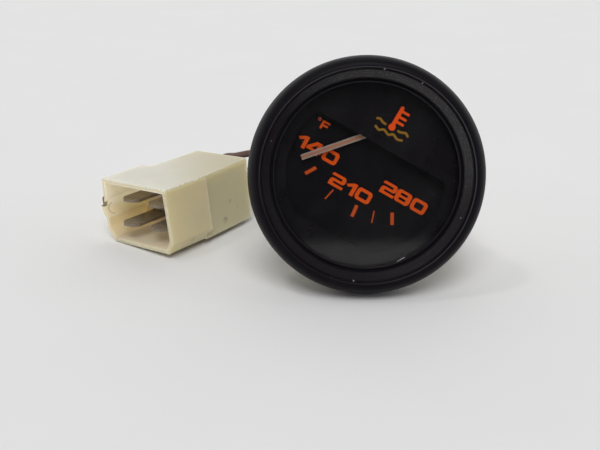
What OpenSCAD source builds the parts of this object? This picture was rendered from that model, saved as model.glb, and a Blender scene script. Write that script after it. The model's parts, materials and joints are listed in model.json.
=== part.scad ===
// Water temperature gauge for a 52 mm panel hole, with its pigtail and four-way connector.
// The gauge stands on its bezel rim and the edge of its case, leaning back, and the
// connector lies beside it. Millimetres, +Z up, the dial faces -Y.

/* [Bezel] */
// Outer diameter of the bezel
bezel_d = 58; // [54:0.5:62]
// Depth of the bezel from its seat to the crest
bezel_h = 8.6; // [8:0.1:10]
// Height of the straight band at the back of the bezel
band_h = 3; // [2:0.1:4]
// Distance of the crest line inside the rim
crest_in = 2.7; // [2.4:0.1:3]
// Distance of the glass lip's edge inside the rim
lip_in = 5.9; // [5.6:0.1:6.2]
// Thickness of the back lip that grips the case flange
back_lip_t = 0.8; // [0.6:0.1:1]

/* [Glass and gasket] */
// Distance of the glass's edge inside the rim
glass_in = 4.2; // [3.8:0.1:4.6]
// Thickness of the glass
glass_t = 1.8; // [1.2:0.1:2.2]
// Thickness of the gasket under the glass
gasket_t = 0.8; // [0.5:0.1:1]
// Distance of the gasket's inner edge inside the rim
gasket_in = 5.5; // [5.2:0.1:5.8]

/* [Case] */
// Distance of the register, which sits in the panel hole, inside the bezel's rim
register_in = 3.2; // [3.1:0.05:3.4]
// Length of the register behind the bezel
register_l = 5.6; // [4:0.1:7]
// Step from the register down to the barrel behind it
barrel_step = 0.5; // [0.4:0.05:0.6]
// Depth of the barrel, to the start of the shoulder
barrel_l = 10.5; // [9.5:0.1:11.5]
// Step from the register down to the rear part of the case
rear_step = 3.8; // [3.2:0.1:4]
// Depth of the case behind the bezel seat
case_depth = 25.6; // [25:0.1:28]
// Thickness of the case wall
case_wall = 0.8; // [0.6:0.1:0.9]
// Distance of the rolled flange's edge inside the bezel's rim
flange_in = 2.1; // [1.9:0.1:2.3]
// Thickness of the rolled flange
flange_t = 0.6; // [0.5:0.1:0.8]

/* [Dial] */
// Gap round the dial plate and the mask, inside the case
dial_gap = 0.3; // [0.2:0.05:0.5]
// Thickness of the dial plate
dial_t = 0.8; // [0.5:0.1:1]
// Depth of the dial's face below the bezel seat
dial_depth = 1.8; // [1.6:0.1:2.4]
// Thickness of the mask plate
mask_t = 0.8; // [0.5:0.1:1]
// Height of the mask's front face above the bezel seat
mask_z = 0.9; // [0.7:0.1:1]
// Diameter of the window in the mask
window_d = 39.4; // [37:0.2:40]
// Height of the window's straight top edge above the centre
window_top = 8; // [6:0.1:9]
// Depth of the window's straight bottom edge below the centre
window_bottom = 16.6; // [14:0.1:17.5]
// Distance of the pivot inside the dial plate's edge
pivot_in = 10.3; // [9.6:0.1:10.6]

/* [Pointer] */
// Length of the needle from the pivot to its tip
needle_l = 24; // [22:0.1:24.6]
// Length of the needle's tail behind the pivot
needle_tail = 6.4; // [5.6:0.1:7]
// Width of the needle
needle_w = 1.4; // [1:0.1:1.8]
// Thickness of the needle
needle_t = 0.45; // [0.3:0.05:0.6]
// Angle of the resting needle, clockwise from straight down
rest_angle = 41.5; // [38:0.5:45]
// Travel of the needle from rest to its upper stop
needle_travel = 78; // [70:1:80]
// Diameter of the spindle
spindle_d = 1.2; // [1:0.1:1.4]

/* [Movement] */
// Thickness of the movement frame
frame_t = 1.2; // [1:0.1:1.4]
// Angle of each coil's axis from straight down
coil_angle = 45; // [43:1:47]
// Length of a coil form
coil_l = 11.8; // [11.5:0.1:12.2]
// Diameter of a coil form's flanges
coil_d = 11; // [10:0.1:11.6]
// Diameter of a coil's core
core_d = 4.4; // [4:0.1:4.8]
// Radius of the armature
armature_r = 6.5; // [5.5:0.1:6.8]

/* [Rear fittings] */
// Distance between the two mounting studs
stud_spacing = 26; // [25.4:0.1:26.6]
// Height of the studs above the centre
stud_y = 3; // [2.6:0.1:3.4]
// Diameter of the studs
stud_d = 4; // [3.6:0.1:4.2]
// Reach of the studs behind the bezel seat
stud_reach = 40; // [39.5:0.5:41]
// Width of the clamp strip
clamp_w = 8; // [7:0.1:8.4]
// Thickness of the clamp strip
clamp_t = 1.5; // [1.2:0.1:1.6]
// Distance of the clamp's feet behind the bezel seat, with the nuts backed off
panel_gap = 5; // [4.6:0.1:6]
// Diameter of the lamp holder's barrel
lamp_d = 11.8; // [11.4:0.1:12]
// Diameter of the grommet's neck
grommet_d = 7; // [6.6:0.1:7.4]

/* [Connector] */
// Width of the connector at its mouth
plug_w = 25.3; // [24.6:0.1:27]
// Height of the connector
plug_h = 18.2; // [18:0.1:20]
// Length of the connector
plug_l = 34.8; // [33:0.1:38]
// Length of the wide shroud at the mouth
shroud_l = 15.5; // [14.6:0.1:17]
// Wall thickness of the shroud
shroud_wall = 1.2; // [1:0.1:1.4]
// Inset of the rear body on the latch side
rear_inset_latch = 3.4; // [2.8:0.1:3.8]
// Inset of the rear body on the plain side
rear_inset_plain = 1.8; // [1.2:0.1:2]
// Width of a tab
tab_w = 6.3; // [6.2:0.1:6.4]
// Thickness of a tab
tab_t = 0.8; // [0.7:0.1:0.9]
// Distance between tab centres, across
tab_pitch_x = 10.2; // [9.8:0.1:10.6]
// Distance between tab centres, up
tab_pitch_z = 6.8; // [6.4:0.1:7.2]
// Distance of the tab tips behind the mouth
tab_setback = 2; // [1.5:0.1:4]

/* [Wires] */
// Outer diameter of each wire
wire_d = 2.2; // [1.8:0.1:2.4]

/* [Pose] */
// Turn of the upright dial, clockwise seen from the front
roll_angle = 29.5; // [0:0.5:45]
// Turn of the connector, clockwise seen from above
plug_yaw = 37.6; // [30:0.1:45]
// Tilt of the connector on its lower left edge
plug_tilt = 4.2; // [0:0.1:6]
// Place of the connector's mouth, across
plug_x = -60.5; // [-70:0.5:-55]
// Place of the connector's mouth, in depth
plug_y = 4.7; // [0:0.1:10]

/* [Hidden] */
$fn = 96;

// Clearances
fit_gap = 0.15;
run_gap = 0.05;
press_gap = 0.02;
face_gap = 0.1;
cut = 1;

// Bezel, glass and case heights above the bezel seat
bezel_r = bezel_d / 2;
crest_r = bezel_r - crest_in;
lip_r = bezel_r - lip_in;
glass_r = bezel_r - glass_in;
back_edge = 0.4;
crest_round = 0.35;
shelf_in = 0.7;
shelf_drop = 1.1;
lip_t = 0.35;
lip_step = 0.4;
slope_rise = 0.35;
flange_top = back_lip_t + flange_t;
gasket_top = flange_top + gasket_t;
glass_top = gasket_top + glass_t;
flange_r = bezel_r - flange_in;
register_r = bezel_r - register_in;
barrel_r = register_r - barrel_step;
rear_r = register_r - rear_step;
neck_inset = 0.5;
neck_gap = 0.3;
shoulder_round = 1.5;
shoulder_fillet = 1;
rear_round = 1;
case_floor = -case_depth + case_wall;

// Stance: the bezel's back edge and the case's rear corner both touch the table
stance_rise = bezel_r - rear_r + rear_round;
stance_run = back_edge + case_depth - rear_round;
lean_angle = atan(stance_rise / stance_run)
    - asin(rear_round / norm([stance_rise, stance_run]));
seat_z = bezel_r * cos(lean_angle) - back_edge * sin(lean_angle);
front_reach = crest_r * sin(lean_angle) + bezel_h * cos(lean_angle);
stud_high = stud_spacing / 2 * sin(roll_angle) + stud_y * cos(roll_angle) + stud_d / 2;
back_reach = stud_reach * cos(lean_angle) + stud_high * sin(lean_angle);
seat_y = (front_reach - back_reach) / 2;

// Dial stack
dial_r = barrel_r - case_wall - dial_gap;
pivot_y = dial_r - pivot_in;
dial_back = -dial_depth - dial_t;
mask_back = mask_z - mask_t;
mask_rim = 0.7;
skirt_t = 0.8;
needle_z = -dial_depth + 0.75;
boss_r = 2.2;
boss_hub_r = 1.5;
boss_t = 1.1;
boss_z = needle_z - 0.35;
weight_r = 1.5;
weight_t = 0.5;
stop_r = 0.4;
stop_reach = 5.2;
stop_offset = needle_w / 2 + stop_r + run_gap;

// Movement
spindle_r = spindle_d / 2;
base_top = case_floor + frame_t;
bridge_top = dial_back - 1.6;
bridge_t = 1;
bridge_half = 9.5;
bridge_leg_y = pivot_y - 0.2;
bridge_leg_w = 4;
screw_r = 0.8;
screw_head_r = 1.6;
screw_head_t = 0.7;
screw_x = 7.6;
screw_y = pivot_y + 1.8;
bearing_r = 1.8;
bearing_l = 1.8;
cup_r = 2;
cup_rise = 1.8;
cup_depth = 1.6;
armature_z = -13;
armature_t = 2;
hub_r = 1.6;
hub_l = 4;
core_gap = 0.7;
core_start = armature_r + core_gap;
coil_start = core_start + 1.3;
coil_flange_t = 0.8;
coil_tube_r = core_d / 2 + 0.8;
tab_start = coil_start + coil_l + face_gap;
core_end = tab_start + frame_t + 0.4;
magnet_r = 1.5;
magnet_l = 3;
magnet_y = pivot_y - 4.2;

// Rear fittings
stud_r = stud_d / 2;
stud_x = stud_spacing / 2;
stud_head_r = 3.2;
stud_head_t = 0.8;
washer_r = 4;
washer_t = 0.5;
nut_flats = 7;
nut_t = 2.4;
case_nut_z = -case_depth - washer_t - nut_t;
clamp_travel = 3.6;
clamp_back = case_nut_z - clamp_travel - fit_gap - clamp_t;
clamp_clear = 0.9;
clamp_x = register_r + clamp_clear;
clamp_bend = 2.5;
thumb_r = 5;
thumb_t = 3;
thumb_collar_r = 3.4;
thumb_collar_t = 1;
knurl_count = 24;
knurl_depth = 0.25;
lamp_in = 9;
lamp_angle = 237.5;
lamp_x = (rear_r - lamp_in) * cos(lamp_angle);
lamp_y = (rear_r - lamp_in) * sin(lamp_angle);
lamp_r = lamp_d / 2;
lamp_hole_gap = 0.2;
lamp_flange_r = 8;
lamp_flange_t = 1.8;
lamp_grip_l = 4;
lamp_grip_w = 5;
lamp_lug_r = lamp_r + 1.5;
lamp_lug_w = 2.6;
lamp_lug_t = 1.2;
lamp_turn = 60;
lamp_barrel_top = -20;
bulb_base_r = 3.4;
bulb_base_l = 6.4;
bulb_r = 3;
bulb_l = 8;
grommet_in = 9.3;
grommet_angle = 315;
grommet_x = (rear_r - grommet_in) * cos(grommet_angle);
grommet_y = (rear_r - grommet_in) * sin(grommet_angle);
grommet_r = grommet_d / 2;
grommet_flange = 1.1;
grommet_t = 1.6;
grommet_nose = 1.6;
wire_ring_r = 1.4;

// Connector
plug_half = plug_w / 2;
latch_corner_x = 2.7;
latch_corner_z = 3.4;
plain_corner_x = 1.2;
plain_corner_z = 3.2;
plain_flare = 0.9;
plain_step = 0.5;
bulge_r = 4.6;
bulge_out = 1.5;
bulge_z = 9.7;
latch_slot_floor = 0.75;
latch_slot_l = 5.5;
latch_slot_h = 3.4;
floor_t = 1.6;
tab_drop = 0.35;
tab_z = plug_h / 2 - tab_drop;
tab_tip = 1.6;
tab_tip_in = 1.5;
tab_slip = 1;
tab_end = 21;
crimp_r = 1.7;
crimp_end = 27;
pocket_w = 6.9;
pocket_h = 4.8;
pocket_start = 18.2;
plug_lift = (plug_half - latch_corner_x) * sin(plug_tilt);

// Points round an arc, from one angle to another
function arc(centre, radius, from, to, steps = 6) =
    [for (i = [0 : steps]) let (a = from + (to - from) * i / steps)
        centre + radius * [cos(a), sin(a)]];

// Turns about X, Y and Z, as functions for the wires' ends
function turn_x(p, a) = [p[0], p[1] * cos(a) - p[2] * sin(a), p[1] * sin(a) + p[2] * cos(a)];
function turn_y(p, a) = [p[0] * cos(a) + p[2] * sin(a), p[1], -p[0] * sin(a) + p[2] * cos(a)];
function turn_z(p, a) = [p[0] * cos(a) - p[1] * sin(a), p[0] * sin(a) + p[1] * cos(a), p[2]];

// A point of the upright dial's frame, and of the connector's frame, where it stands
function from_dial(p) =
    turn_x(turn_z(p, -roll_angle), 90 - lean_angle) + [0, seat_y, seat_z];
function from_plug(p) =
    turn_z(turn_y(p, -plug_tilt), -plug_yaw) + [plug_x, plug_y, plug_lift];

// Sets the upright gauge, axis along +Z, in its leaning place
module stand() {
    translate([0, seat_y, seat_z])
        rotate([90 - lean_angle, 0, 0])
            rotate([0, 0, -roll_angle])
                children();
}

// Sets the connector, mouth at y = 0, where it lies
module lay() {
    translate([plug_x, plug_y, plug_lift])
        rotate([0, 0, -plug_yaw])
            rotate([0, -plug_tilt, 0])
                children();
}

module ring(outer, inner, height) {
    difference() {
        cylinder(r = outer, h = height);
        translate([0, 0, -cut])
            cylinder(r = inner, h = height + 2 * cut);
    }
}

module at_studs() {
    for (side = [-1, 1])
        translate([side * stud_x, stud_y, 0])
            children();
}

// Front of the gauge
module bezel() {
    flank = [for (i = [0 : 12]) let (a = 90 * i / 12)
        [crest_r + (bezel_r - crest_r) * cos(a), band_h + (bezel_h - band_h) * sin(a)]];
    crest = arc([crest_r, bezel_h - crest_round], crest_round, 110, 170, 3);
    color("#1b1a1c")
        stand()
            rotate_extrude()
                polygon(concat(
                    [[register_r + neck_gap, 0], [bezel_r - back_edge, 0], [bezel_r, back_edge]],
                    flank,
                    crest,
                    [[crest_r - shelf_in, bezel_h - shelf_drop]],
                    [[lip_r + lip_step, glass_top + lip_t + slope_rise],
                     [lip_r + lip_step, glass_top + lip_t],
                     [lip_r, glass_top + lip_t - fit_gap],
                     [lip_r, glass_top],
                     [glass_r + fit_gap, glass_top],
                     [glass_r + fit_gap, gasket_top],
                     [flange_r + fit_gap, gasket_top],
                     [flange_r + fit_gap, back_lip_t],
                     [register_r + neck_gap, back_lip_t]]));
}

module glass() {
    color("#8fa0a8", 0.35)
        stand()
            translate([0, 0, gasket_top])
                cylinder(r = glass_r, h = glass_t);
}

module gasket() {
    color("#2a2a2a")
        stand()
            translate([0, 0, flange_top])
                ring(flange_r - fit_gap, bezel_r - gasket_in, gasket_t);
}

module mask_plate() {
    color("#151515")
        stand()
            difference() {
                union() {
                    translate([0, 0, mask_back])
                        cylinder(r = dial_r, h = mask_t);
                    translate([0, 0, mask_z])
                        ring(dial_r, dial_r - mask_rim, flange_top - mask_z);
                    translate([0, 0, -dial_depth])
                        ring(dial_r, dial_r - skirt_t, mask_back + dial_depth);
                }
                intersection() {
                    translate([0, 0, mask_back - cut])
                        cylinder(d = window_d, h = mask_t + 2 * cut);
                    translate([-window_d, -window_bottom, mask_back - cut])
                        cube([2 * window_d, window_bottom + window_top, mask_t + 2 * cut]);
                }
            }
}

module dial_plate() {
    color("#0e0e0f")
        stand()
            translate([0, 0, dial_back])
                difference() {
                    cylinder(r = dial_r, h = dial_t);
                    translate([0, pivot_y, -cut])
                        cylinder(r = boss_r, h = dial_t + 2 * cut);
                    for (side = [-1, 1])
                        translate([side * screw_x, screw_y, -cut])
                            cylinder(r = screw_r + run_gap, h = dial_t + 2 * cut);
                    at_stops()
                        translate([0, 0, -cut])
                            cylinder(r = stop_r + press_gap, h = dial_t + 2 * cut);
                }
}

module dial_screws() {
    color("#b9b4a6")
        stand()
            for (side = [-1, 1])
                translate([side * screw_x, screw_y, 0])
                    difference() {
                        union() {
                            translate([0, 0, -dial_depth])
                                cylinder(r = screw_head_r, h = screw_head_t);
                            translate([0, 0, bridge_top])
                                cylinder(r = screw_r, h = -dial_depth - bridge_top);
                        }
                        translate([-screw_head_r, -screw_r / 4, -dial_depth + screw_head_t / 2])
                            cube([2 * screw_head_r, screw_r / 2, screw_head_t]);
                    }
}

// The drawn case, its side set in by the wall for the inner face
function case_side(w) = concat(
    arc([barrel_r - shoulder_round, -barrel_l], shoulder_round - w, 0, -90),
    arc([rear_r + shoulder_fillet, -barrel_l - shoulder_round - shoulder_fillet],
        shoulder_fillet + w, 90, 180),
    arc([rear_r - rear_round, -case_depth + rear_round], rear_round - w, 0, -90, 4),
    [[0, -case_depth + w]]);

function reversed(list) = [for (i = [len(list) - 1 : -1 : 0]) list[i]];

module case() {
    color("#a9a48f")
        stand()
            difference() {
                rotate_extrude()
                    polygon(concat(
                        [[barrel_r - case_wall, flange_top],
                         [flange_r, flange_top],
                         [flange_r, back_lip_t],
                         [register_r - neck_inset, back_lip_t],
                         [register_r - neck_inset, 0],
                         [register_r, 0],
                         [register_r, -register_l],
                         [barrel_r, -register_l]],
                        case_side(0),
                        reversed(case_side(case_wall))));
                at_studs()
                    translate([0, 0, -case_depth - cut])
                        cylinder(r = stud_r + run_gap, h = case_wall + 2 * cut);
                translate([grommet_x, grommet_y, -case_depth - cut])
                    cylinder(r = grommet_r, h = case_wall + 2 * cut);
                translate([lamp_x, lamp_y, -case_depth - cut]) {
                    cylinder(r = lamp_r + lamp_hole_gap, h = case_wall + 2 * cut);
                    rotate([0, 0, lamp_turn])
                        translate([-lamp_lug_r - fit_gap, -lamp_lug_w / 2 - fit_gap, 0])
                            cube([2 * (lamp_lug_r + fit_gap), lamp_lug_w + 2 * fit_gap,
                                case_wall + 2 * cut]);
                }
            }
}

// Pointer: needle, boss, counterweight, spindle and armature turn together
module at_pivot() {
    translate([0, pivot_y, 0])
        rotate([0, 0, -rest_angle])
            children();
}

module needle() {
    color("#cfc8bd")
        stand()
            at_pivot()
                difference() {
                    union() {
                        translate([-needle_w / 2, -needle_l, needle_z])
                            cube([needle_w, needle_l + needle_tail, needle_t]);
                        translate([0, 0, needle_z])
                            cylinder(r = boss_r, h = needle_t);
                    }
                    translate([0, 0, needle_z - cut])
                        cylinder(r = boss_hub_r, h = needle_t + 2 * cut);
                }
}

module needle_boss() {
    color("#161616")
        stand()
            at_pivot()
                difference() {
                    union() {
                        translate([0, 0, boss_z])
                            cylinder(r = boss_hub_r - press_gap, h = boss_t);
                        translate([0, 0, needle_z + needle_t])
                            cylinder(r = boss_r, h = boss_t + boss_z - needle_z - needle_t);
                    }
                    translate([0, 0, boss_z - cut])
                        cylinder(r = spindle_r + press_gap, h = boss_t / 2 + cut);
                }
}

module counterweight() {
    color("#8c8a84")
        stand()
            at_pivot()
                translate([0, needle_tail - weight_r, needle_z + needle_t])
                    cylinder(r = weight_r, h = weight_t);
}

module spindle() {
    bottom = base_top + cup_rise - cup_depth + face_gap;
    color("#b8b8bb")
        stand()
            at_pivot()
                translate([0, 0, bottom])
                    cylinder(r = spindle_r, h = boss_z + boss_t / 2 - face_gap - bottom);
}

module armature() {
    color("#6d6a66")
        stand()
            at_pivot()
                translate([0, 0, armature_z])
                    difference() {
                        union() {
                            translate([0, 0, (armature_t - hub_l) / 2])
                                cylinder(r = hub_r, h = hub_l);
                            intersection() {
                                cylinder(r = armature_r, h = armature_t);
                                translate([-armature_r, -hub_r, 0])
                                    cube([2 * armature_r, 2 * hub_r, armature_t]);
                            }
                        }
                        translate([0, 0, -hub_l])
                            cylinder(r = spindle_r + press_gap, h = 2 * hub_l);
                    }
}

// The needle lies against the first pin at rest and meets the second at full travel
module at_stops() {
    translate([0, pivot_y, 0]) {
        rotate([0, 0, -rest_angle])
            translate([-stop_offset, -stop_reach, 0])
                children();
        rotate([0, 0, needle_travel - rest_angle])
            translate([stop_offset, -stop_reach, 0])
                children();
    }
}

module stop_pins() {
    color("#b9b4a6")
        stand()
            at_stops()
                translate([0, 0, dial_back])
                    cylinder(r = stop_r, h = needle_z + needle_t - dial_back);
}

// Movement: bridge, bearings, frame, magnet and the two coils
module bearing_bridge() {
    leg_l = bridge_top - bridge_t - base_top;
    color("#9b8b57")
        stand()
            difference() {
                union() {
                    translate([-bridge_half, pivot_y - bridge_leg_w, bridge_top - bridge_t])
                        cube([2 * bridge_half, screw_y + screw_head_r - pivot_y + bridge_leg_w,
                            bridge_t]);
                    for (side = [-1, 1]) {
                        translate([side * (bridge_half - bridge_t / 2) - bridge_t / 2,
                                bridge_leg_y, base_top])
                            cube([bridge_t, bridge_leg_w - 0.4, leg_l + bridge_t / 2]);
                        translate([side * screw_x, screw_y, bridge_top - bridge_t / 2])
                            cylinder(r = screw_head_r, h = dial_back - bridge_top + bridge_t / 2);
                    }
                }
                translate([0, pivot_y, bridge_top - 2 * bridge_t])
                    cylinder(r = bearing_r + press_gap, h = 4 * bridge_t);
                for (side = [-1, 1])
                    translate([side * screw_x, screw_y, bridge_top])
                        cylinder(r = screw_r + run_gap, h = dial_back - bridge_top + cut);
            }
}

module front_bearing() {
    color("#b79a52")
        stand()
            translate([0, pivot_y, bridge_top - bridge_t / 2 - bearing_l / 2])
                ring(bearing_r, spindle_r + run_gap, bearing_l);
}

module rear_bearing() {
    color("#b79a52")
        stand()
            translate([0, pivot_y, case_floor])
                difference() {
                    cylinder(r = cup_r, h = frame_t + cup_rise);
                    translate([0, 0, frame_t + cup_rise - cup_depth])
                        cylinder(r = spindle_r + run_gap, h = cup_depth + cut);
                }
}

module along_coil(side) {
    translate([0, pivot_y, armature_z + armature_t / 2])
        rotate([0, 0, side * coil_angle])
            rotate([90, 0, 0])
                children();
}

module movement_frame() {
    arm_w = 8;
    tab_rise = armature_z + armature_t / 2 + coil_tube_r + 1;
    color("#8f8f8a")
        stand()
            difference() {
                union() {
                    translate([-bridge_half, pivot_y - 4.5, case_floor])
                        cube([2 * bridge_half, 8.6, frame_t]);
                    for (side = [-1, 1])
                        translate([0, pivot_y, case_floor])
                            rotate([0, 0, side * coil_angle]) {
                                translate([-arm_w / 2, -tab_start - frame_t, 0])
                                    cube([arm_w, tab_start + frame_t, frame_t]);
                                translate([-arm_w / 2, -tab_start - frame_t, 0])
                                    cube([arm_w, frame_t, tab_rise - case_floor]);
                            }
                }
                for (side = [-1, 1])
                    along_coil(side)
                        translate([0, 0, tab_start - cut])
                            cylinder(r = core_d / 2 + run_gap, h = frame_t + 2 * cut);
                at_studs()
                    translate([0, 0, case_floor - cut])
                        cylinder(r = stud_r + run_gap, h = frame_t + 2 * cut);
                translate([0, pivot_y, case_floor - cut])
                    cylinder(r = cup_r + press_gap, h = frame_t + 2 * cut);
            }
}

module return_magnet() {
    color("#4a4a4d")
        stand()
            translate([0, magnet_y, base_top])
                cylinder(r = magnet_r, h = magnet_l);
}

module coil_form(side) {
    color("#d9d2bf")
        stand()
            along_coil(side)
                translate([0, 0, coil_start])
                    difference() {
                        union() {
                            cylinder(r = coil_d / 2, h = coil_flange_t);
                            cylinder(r = coil_tube_r, h = coil_l);
                            translate([0, 0, coil_l - coil_flange_t])
                                cylinder(r = coil_d / 2, h = coil_flange_t);
                        }
                        translate([0, 0, -cut])
                            cylinder(r = core_d / 2 + run_gap, h = coil_l + 2 * cut);
                    }
}

module winding(side) {
    color("#8a3f1d")
        stand()
            along_coil(side)
                translate([0, 0, coil_start + coil_flange_t])
                    ring(coil_d / 2 - 0.4, coil_tube_r + press_gap, coil_l - 2 * coil_flange_t);
}

module core(side) {
    color("#77777a")
        stand()
            along_coil(side)
                translate([0, 0, core_start])
                    cylinder(r = core_d / 2, h = core_end - core_start);
}

module coil_form_left() { coil_form(-1); }
module coil_form_right() { coil_form(1); }
module winding_left() { winding(-1); }
module winding_right() { winding(1); }
module core_left() { core(-1); }
module core_right() { core(1); }

// Rear fittings
module mounting_studs() {
    color("#b5b2a8")
        stand()
            at_studs() {
                translate([0, 0, -stud_reach])
                    cylinder(r = stud_r, h = stud_reach + base_top + stud_head_t);
                translate([0, 0, base_top])
                    cylinder(r = stud_head_r, h = stud_head_t);
            }
}

module stud_washers() {
    color("#9a978d")
        stand()
            at_studs()
                translate([0, 0, -case_depth - washer_t])
                    ring(washer_r, stud_r + run_gap, washer_t);
}

module stud_nuts() {
    color("#b5b2a8")
        stand()
            at_studs()
                translate([0, 0, case_nut_z])
                    difference() {
                        cylinder(r = nut_flats / sqrt(3), h = nut_t, $fn = 6);
                        translate([0, 0, -cut])
                            cylinder(r = stud_r + run_gap, h = nut_t + 2 * cut);
                    }
}

module clamp_bridge() {
    color("#a9a48f")
        stand()
            translate([0, stud_y + clamp_w / 2, 0])
                rotate([90, 0, 0])
                    difference() {
                        linear_extrude(height = clamp_w)
                            polygon(concat(
                                arc([clamp_x + clamp_t - clamp_bend, clamp_back + clamp_bend],
                                    clamp_bend, -90, 0),
                                [[clamp_x + clamp_t, -panel_gap], [clamp_x, -panel_gap]],
                                arc([clamp_x + clamp_t - clamp_bend, clamp_back + clamp_bend],
                                    clamp_bend - clamp_t, 0, -90),
                                arc([-clamp_x - clamp_t + clamp_bend, clamp_back + clamp_bend],
                                    clamp_bend - clamp_t, -90, -180),
                                [[-clamp_x, -panel_gap], [-clamp_x - clamp_t, -panel_gap]],
                                arc([-clamp_x - clamp_t + clamp_bend, clamp_back + clamp_bend],
                                    clamp_bend, -180, -90)));
                        for (side = [-1, 1])
                            translate([side * stud_x, clamp_back - cut, clamp_w / 2])
                                rotate([-90, 0, 0])
                                    cylinder(r = stud_r + fit_gap, h = clamp_t + 2 * cut);
                    }
}

module clamp_washers() {
    color("#9a978d")
        stand()
            at_studs()
                translate([0, 0, clamp_back - washer_t])
                    ring(washer_r, stud_r + fit_gap, washer_t);
}

module knurled_nuts() {
    top = clamp_back - washer_t;
    color("#b79a52")
        stand()
            at_studs()
                difference() {
                    union() {
                        translate([0, 0, top - thumb_collar_t])
                            cylinder(r = thumb_collar_r, h = thumb_collar_t);
                        translate([0, 0, top - thumb_collar_t - thumb_t])
                            cylinder(r = thumb_r, h = thumb_t);
                    }
                    translate([0, 0, top - thumb_collar_t - thumb_t - cut])
                        cylinder(r = stud_r + run_gap, h = thumb_t + thumb_collar_t + 2 * cut);
                    for (i = [0 : knurl_count - 1])
                        rotate([0, 0, 360 * i / knurl_count])
                            translate([thumb_r + knurl_depth, 0, top - thumb_collar_t - thumb_t - cut])
                                rotate([0, 0, 45])
                                    translate([-knurl_depth, -knurl_depth, 0])
                                        cube([2 * knurl_depth, 2 * knurl_depth, thumb_t + 2 * cut]);
                }
}

// The lamp holder's lugs lie behind the wall, turned away from the case's notches
module lamp_holder() {
    back = -case_depth - lamp_flange_t;
    color("#e3e0d6")
        stand()
            translate([lamp_x, lamp_y, 0])
                difference() {
                    union() {
                        translate([0, 0, back])
                            cylinder(r = lamp_flange_r, h = lamp_flange_t);
                        translate([0, 0, -case_depth])
                            cylinder(r = lamp_r, h = lamp_barrel_top + case_depth);
                        translate([-lamp_lug_r, -lamp_lug_w / 2, case_floor + face_gap])
                            cube([2 * lamp_lug_r, lamp_lug_w, lamp_lug_t]);
                        intersection() {
                            translate([0, 0, back - lamp_grip_l])
                                cylinder(r = lamp_r, h = lamp_grip_l);
                            translate([-lamp_r, -lamp_grip_w / 2, back - lamp_grip_l])
                                cube([2 * lamp_r, lamp_grip_w, lamp_grip_l]);
                        }
                    }
                    translate([0, 0, lamp_barrel_top - bulb_base_l / 2])
                        cylinder(r = bulb_base_r + run_gap, h = bulb_base_l);
                }
}

module bulb_base() {
    color("#b79a52")
        stand()
            translate([lamp_x, lamp_y, lamp_barrel_top - bulb_base_l / 2])
                cylinder(r = bulb_base_r, h = bulb_base_l);
}

module bulb() {
    base = lamp_barrel_top + bulb_base_l / 2;
    color("#dfe6ea", 0.5)
        stand()
            translate([lamp_x, lamp_y, base])
                rotate_extrude()
                    polygon(concat(
                        [[0, 0], [bulb_r, 0]],
                        arc([0, bulb_l - bulb_r], bulb_r, 0, 90)));
}

module grommet() {
    color("#242424")
        stand()
            translate([grommet_x, grommet_y, 0])
                rotate_extrude()
                    polygon([
                        [0, -case_depth - grommet_t - grommet_nose],
                        [grommet_r - grommet_flange / 2, -case_depth - grommet_t - grommet_nose],
                        [grommet_r, -case_depth - grommet_t],
                        [grommet_r + grommet_flange, -case_depth - grommet_t],
                        [grommet_r + grommet_flange, -case_depth],
                        [grommet_r - run_gap, -case_depth],
                        [grommet_r - run_gap, case_floor],
                        [grommet_r + grommet_flange / 2, case_floor],
                        [grommet_r + grommet_flange / 2, case_floor + grommet_t / 2],
                        [0, case_floor + grommet_t / 2]]);
}

// Connector: a tab's slip towards the mouth, for the lower one on the latch side
function slip(side, row) = side < 0 && row < 0 ? tab_slip : 0;

// Connector: outline of the shroud as (x, z), set in by a wall
function shroud_outline(w, left, right) = let (k = w * 0.6) [
    [left + w, plug_h - w],
    [left + w, latch_corner_z + k],
    [left + latch_corner_x + k, w],
    [right - plain_corner_x - k, w],
    [right + plain_flare - w, plain_corner_z + k],
    [right - w, plug_h - w]];

module along_plug(from, length) {
    translate([0, from + length, 0])
        rotate([90, 0, 0])
            linear_extrude(height = length)
                children();
}

module at_tabs(slipped = 0) {
    for (side = [-1, 1])
        for (row = [-1, 1])
            translate([side * tab_pitch_x / 2, -slipped * slip(side, row), tab_z + row * tab_pitch_z / 2])
                children();
}

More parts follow.
